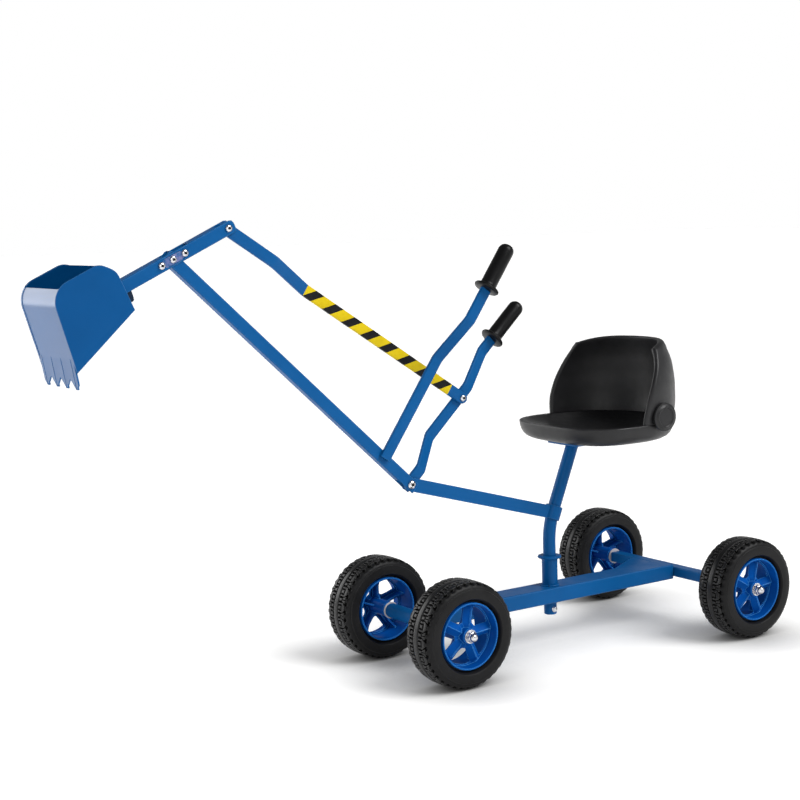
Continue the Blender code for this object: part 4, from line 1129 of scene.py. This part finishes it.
ARM_HEEL = Vector((SWIVEL.x - 0.0078, 0, 0.2038))
LEAN_AXIS = Vector((-math.sin(POST_LEAN), 0, math.cos(POST_LEAN)))
painted("arm_sleeve_tube", move(tube(0.0104, 0.01335, 0.0106, 0.0007, 56), pointing(ARM_HEEL, LEAN_AXIS)),
        body="upper_frame")


# -------- finishes on the CAD nodes that stay
NODE_FINISHES = ((ZINC, ("washer", "axle_rod", "seat_bolt", "retaining_pin")),
                 (DARK, ("bucket_mount_plate",)))
for node_name, obj in frame["nodes"].items():
    finish = next((made for made, starts in NODE_FINISHES if node_name.startswith(starts)), COAT)
    obj.data.materials.clear()
    obj.data.materials.append(finish)


# -------- stage
FLOOR_REACH, FLOOR_STEPS = 30.0, 12
# reach and fall-off of the painted contact shadow
CONTACT_REACH, CONTACT_POWER = 0.15, 1.5       # how far the soft contact shade spreads, and its fall-off
FLOOR_GLOW = 0.38


def put(name, data):
    """Link a new object into the scene."""
    obj = bpy.data.objects.new(name, data)
    bpy.context.scene.collection.objects.link(obj)
    return obj


def aim_at(obj, direction):
    obj.rotation_mode = "QUATERNION"
    obj.rotation_quaternion = Vector(direction).to_track_quat("-Z", "Y")


def stage_floor():
    """A pale floor with a painted contact shadow: it darkens only close to what stands on it."""
    f = Finish("studio_floor", Specular_IOR_Level=0.10)
    f.bsdf.inputs["Emission Color"].default_value = (1.0, 0.996, 0.990, 1.0)
    lit = f.ramp(f.noise(1.3, 3.0), (0.3, (0.905, 0.902, 0.896)), (0.7, (0.930, 0.928, 0.922)))
    # painted contact shadow: ambient occlusion darkens the floor's colour and glow
    under = f.node("ShaderNodeAmbientOcclusion", Distance=CONTACT_REACH)
    under.samples = 12
    clear = f.maths("POWER", under.outputs["AO"], CONTACT_POWER)
    tone = f.mix(clear, (0.200, 0.198, 0.196), lit)
    gloss = f.spread(f.noise(24.0, 3.0), 0.3, 0.7, 0.70, 0.80)
    f.feed(Base_Color=tone, Roughness=gloss, Emission_Strength=f.maths("MULTIPLY", clear, FLOOR_GLOW))
    bm = bmesh.new()
    places = [FLOOR_REACH * (2.0 * i / FLOOR_STEPS - 1) for i in range(FLOOR_STEPS + 1)]
    grid = [[bm.verts.new((x, y, CAD_BOX[0].z)) for x in places] for y in places]
    for j in range(FLOOR_STEPS):
        for i in range(FLOOR_STEPS):
            bm.faces.new((grid[j][i], grid[j][i + 1], grid[j + 1][i + 1], grid[j + 1][i]))
    mesh = bpy.data.meshes.new("studio_floor")
    bm.to_mesh(mesh)
    bm.free()
    mesh.materials.append(f.mat)
    put("studio_floor", mesh)


def area_light(name, place_at, aim, size, power):
    data = bpy.data.lights.new(name, "AREA")
    data.shape = "RECTANGLE"
    data.size, data.size_y = size
    data.energy = power
    obj = put(name, data)
    obj.location = place_at
    aim_at(obj, Vector(aim) - Vector(place_at))
    obj.visible_camera = False


def sun_light(name, direction, strength, spread):
    data = bpy.data.lights.new(name, "SUN")
    data.energy = strength
    data.angle = spread
    aim_at(put(name, data), direction)


def studio_world():
    """White behind the object; a bright horizon and a dimmer ceiling light it."""
    world = bpy.data.worlds.new("studio")
    world.use_nodes = True
    tree = world.node_tree
    seen = tree.nodes["Background"]
    seen.inputs["Color"].default_value = (1.0, 1.0, 1.0, 1.0)
    room = tree.nodes.new("ShaderNodeBackground")
    place = tree.nodes.new("ShaderNodeTexCoord").outputs["Generated"]
    split = tree.nodes.new("ShaderNodeSeparateXYZ")
    tree.links.new(place, split.inputs["Vector"])
    fade = tree.nodes.new("ShaderNodeMapRange")
    fade.interpolation_type = "SMOOTHSTEP"
    for key, value in (("From Min", 0.06), ("From Max", 0.42), ("To Min", 0.80), ("To Max", 0.20)):
        fade.inputs[key].default_value = value
    tree.links.new(split.outputs["Z"], fade.inputs["Value"])
    tree.links.new(fade.outputs["Result"], room.inputs["Strength"])
    both = tree.nodes.new("ShaderNodeMixShader")
    tree.links.new(tree.nodes.new("ShaderNodeLightPath").outputs["Is Camera Ray"], both.inputs["Fac"])
    tree.links.new(room.outputs["Background"], both.inputs[1])
    tree.links.new(seen.outputs["Background"], both.inputs[2])
    tree.links.new(both.outputs["Shader"], tree.nodes["World Output"].inputs["Surface"])
    bpy.context.scene.world = world


stage_floor()
studio_world()
sun_light("key", direction=(0.40, -0.62, -0.72), strength=2.7, spread=rad(38))
area_light("fill", (1.6, 1.9, 1.3), aim=(0.0, 0.0, 0.30), size=(1.2, 1.2), power=10.0)
area_light("far_card", (1.25, -1.75, 0.92), aim=(0.30, 0.0, 0.55), size=(2.2, 1.3), power=26.0)
bpy.context.scene.view_settings.view_transform = "Standard"

# -------- camera
AZIMUTH, ELEVATION, ROLL = rad(145.983), rad(6.621), rad(-1.670)
EYE = (1.32885, 1.9233, 0.6742)
SENSOR_MM, LENS_MM = 36.0, 72.67
back = Vector((math.sin(AZIMUTH) * math.cos(ELEVATION), -math.cos(AZIMUTH) * math.cos(ELEVATION),
               math.sin(ELEVATION)))
right = Vector((math.cos(AZIMUTH), math.sin(AZIMUTH), 0.0))
up = back.cross(right)
cam_x = right * math.cos(ROLL) + up * math.sin(ROLL)
cam_y = up * math.cos(ROLL) - right * math.sin(ROLL)
cam = put("camera", bpy.data.cameras.new("camera"))
cam.data.sensor_width = SENSOR_MM
cam.data.lens = LENS_MM
cam.data.clip_start, cam.data.clip_end = 0.05, 100.0
cam.matrix_world = Matrix.Translation(EYE) @ Matrix((cam_x, cam_y, back)).transposed().to_4x4()
bpy.context.scene.camera = cam
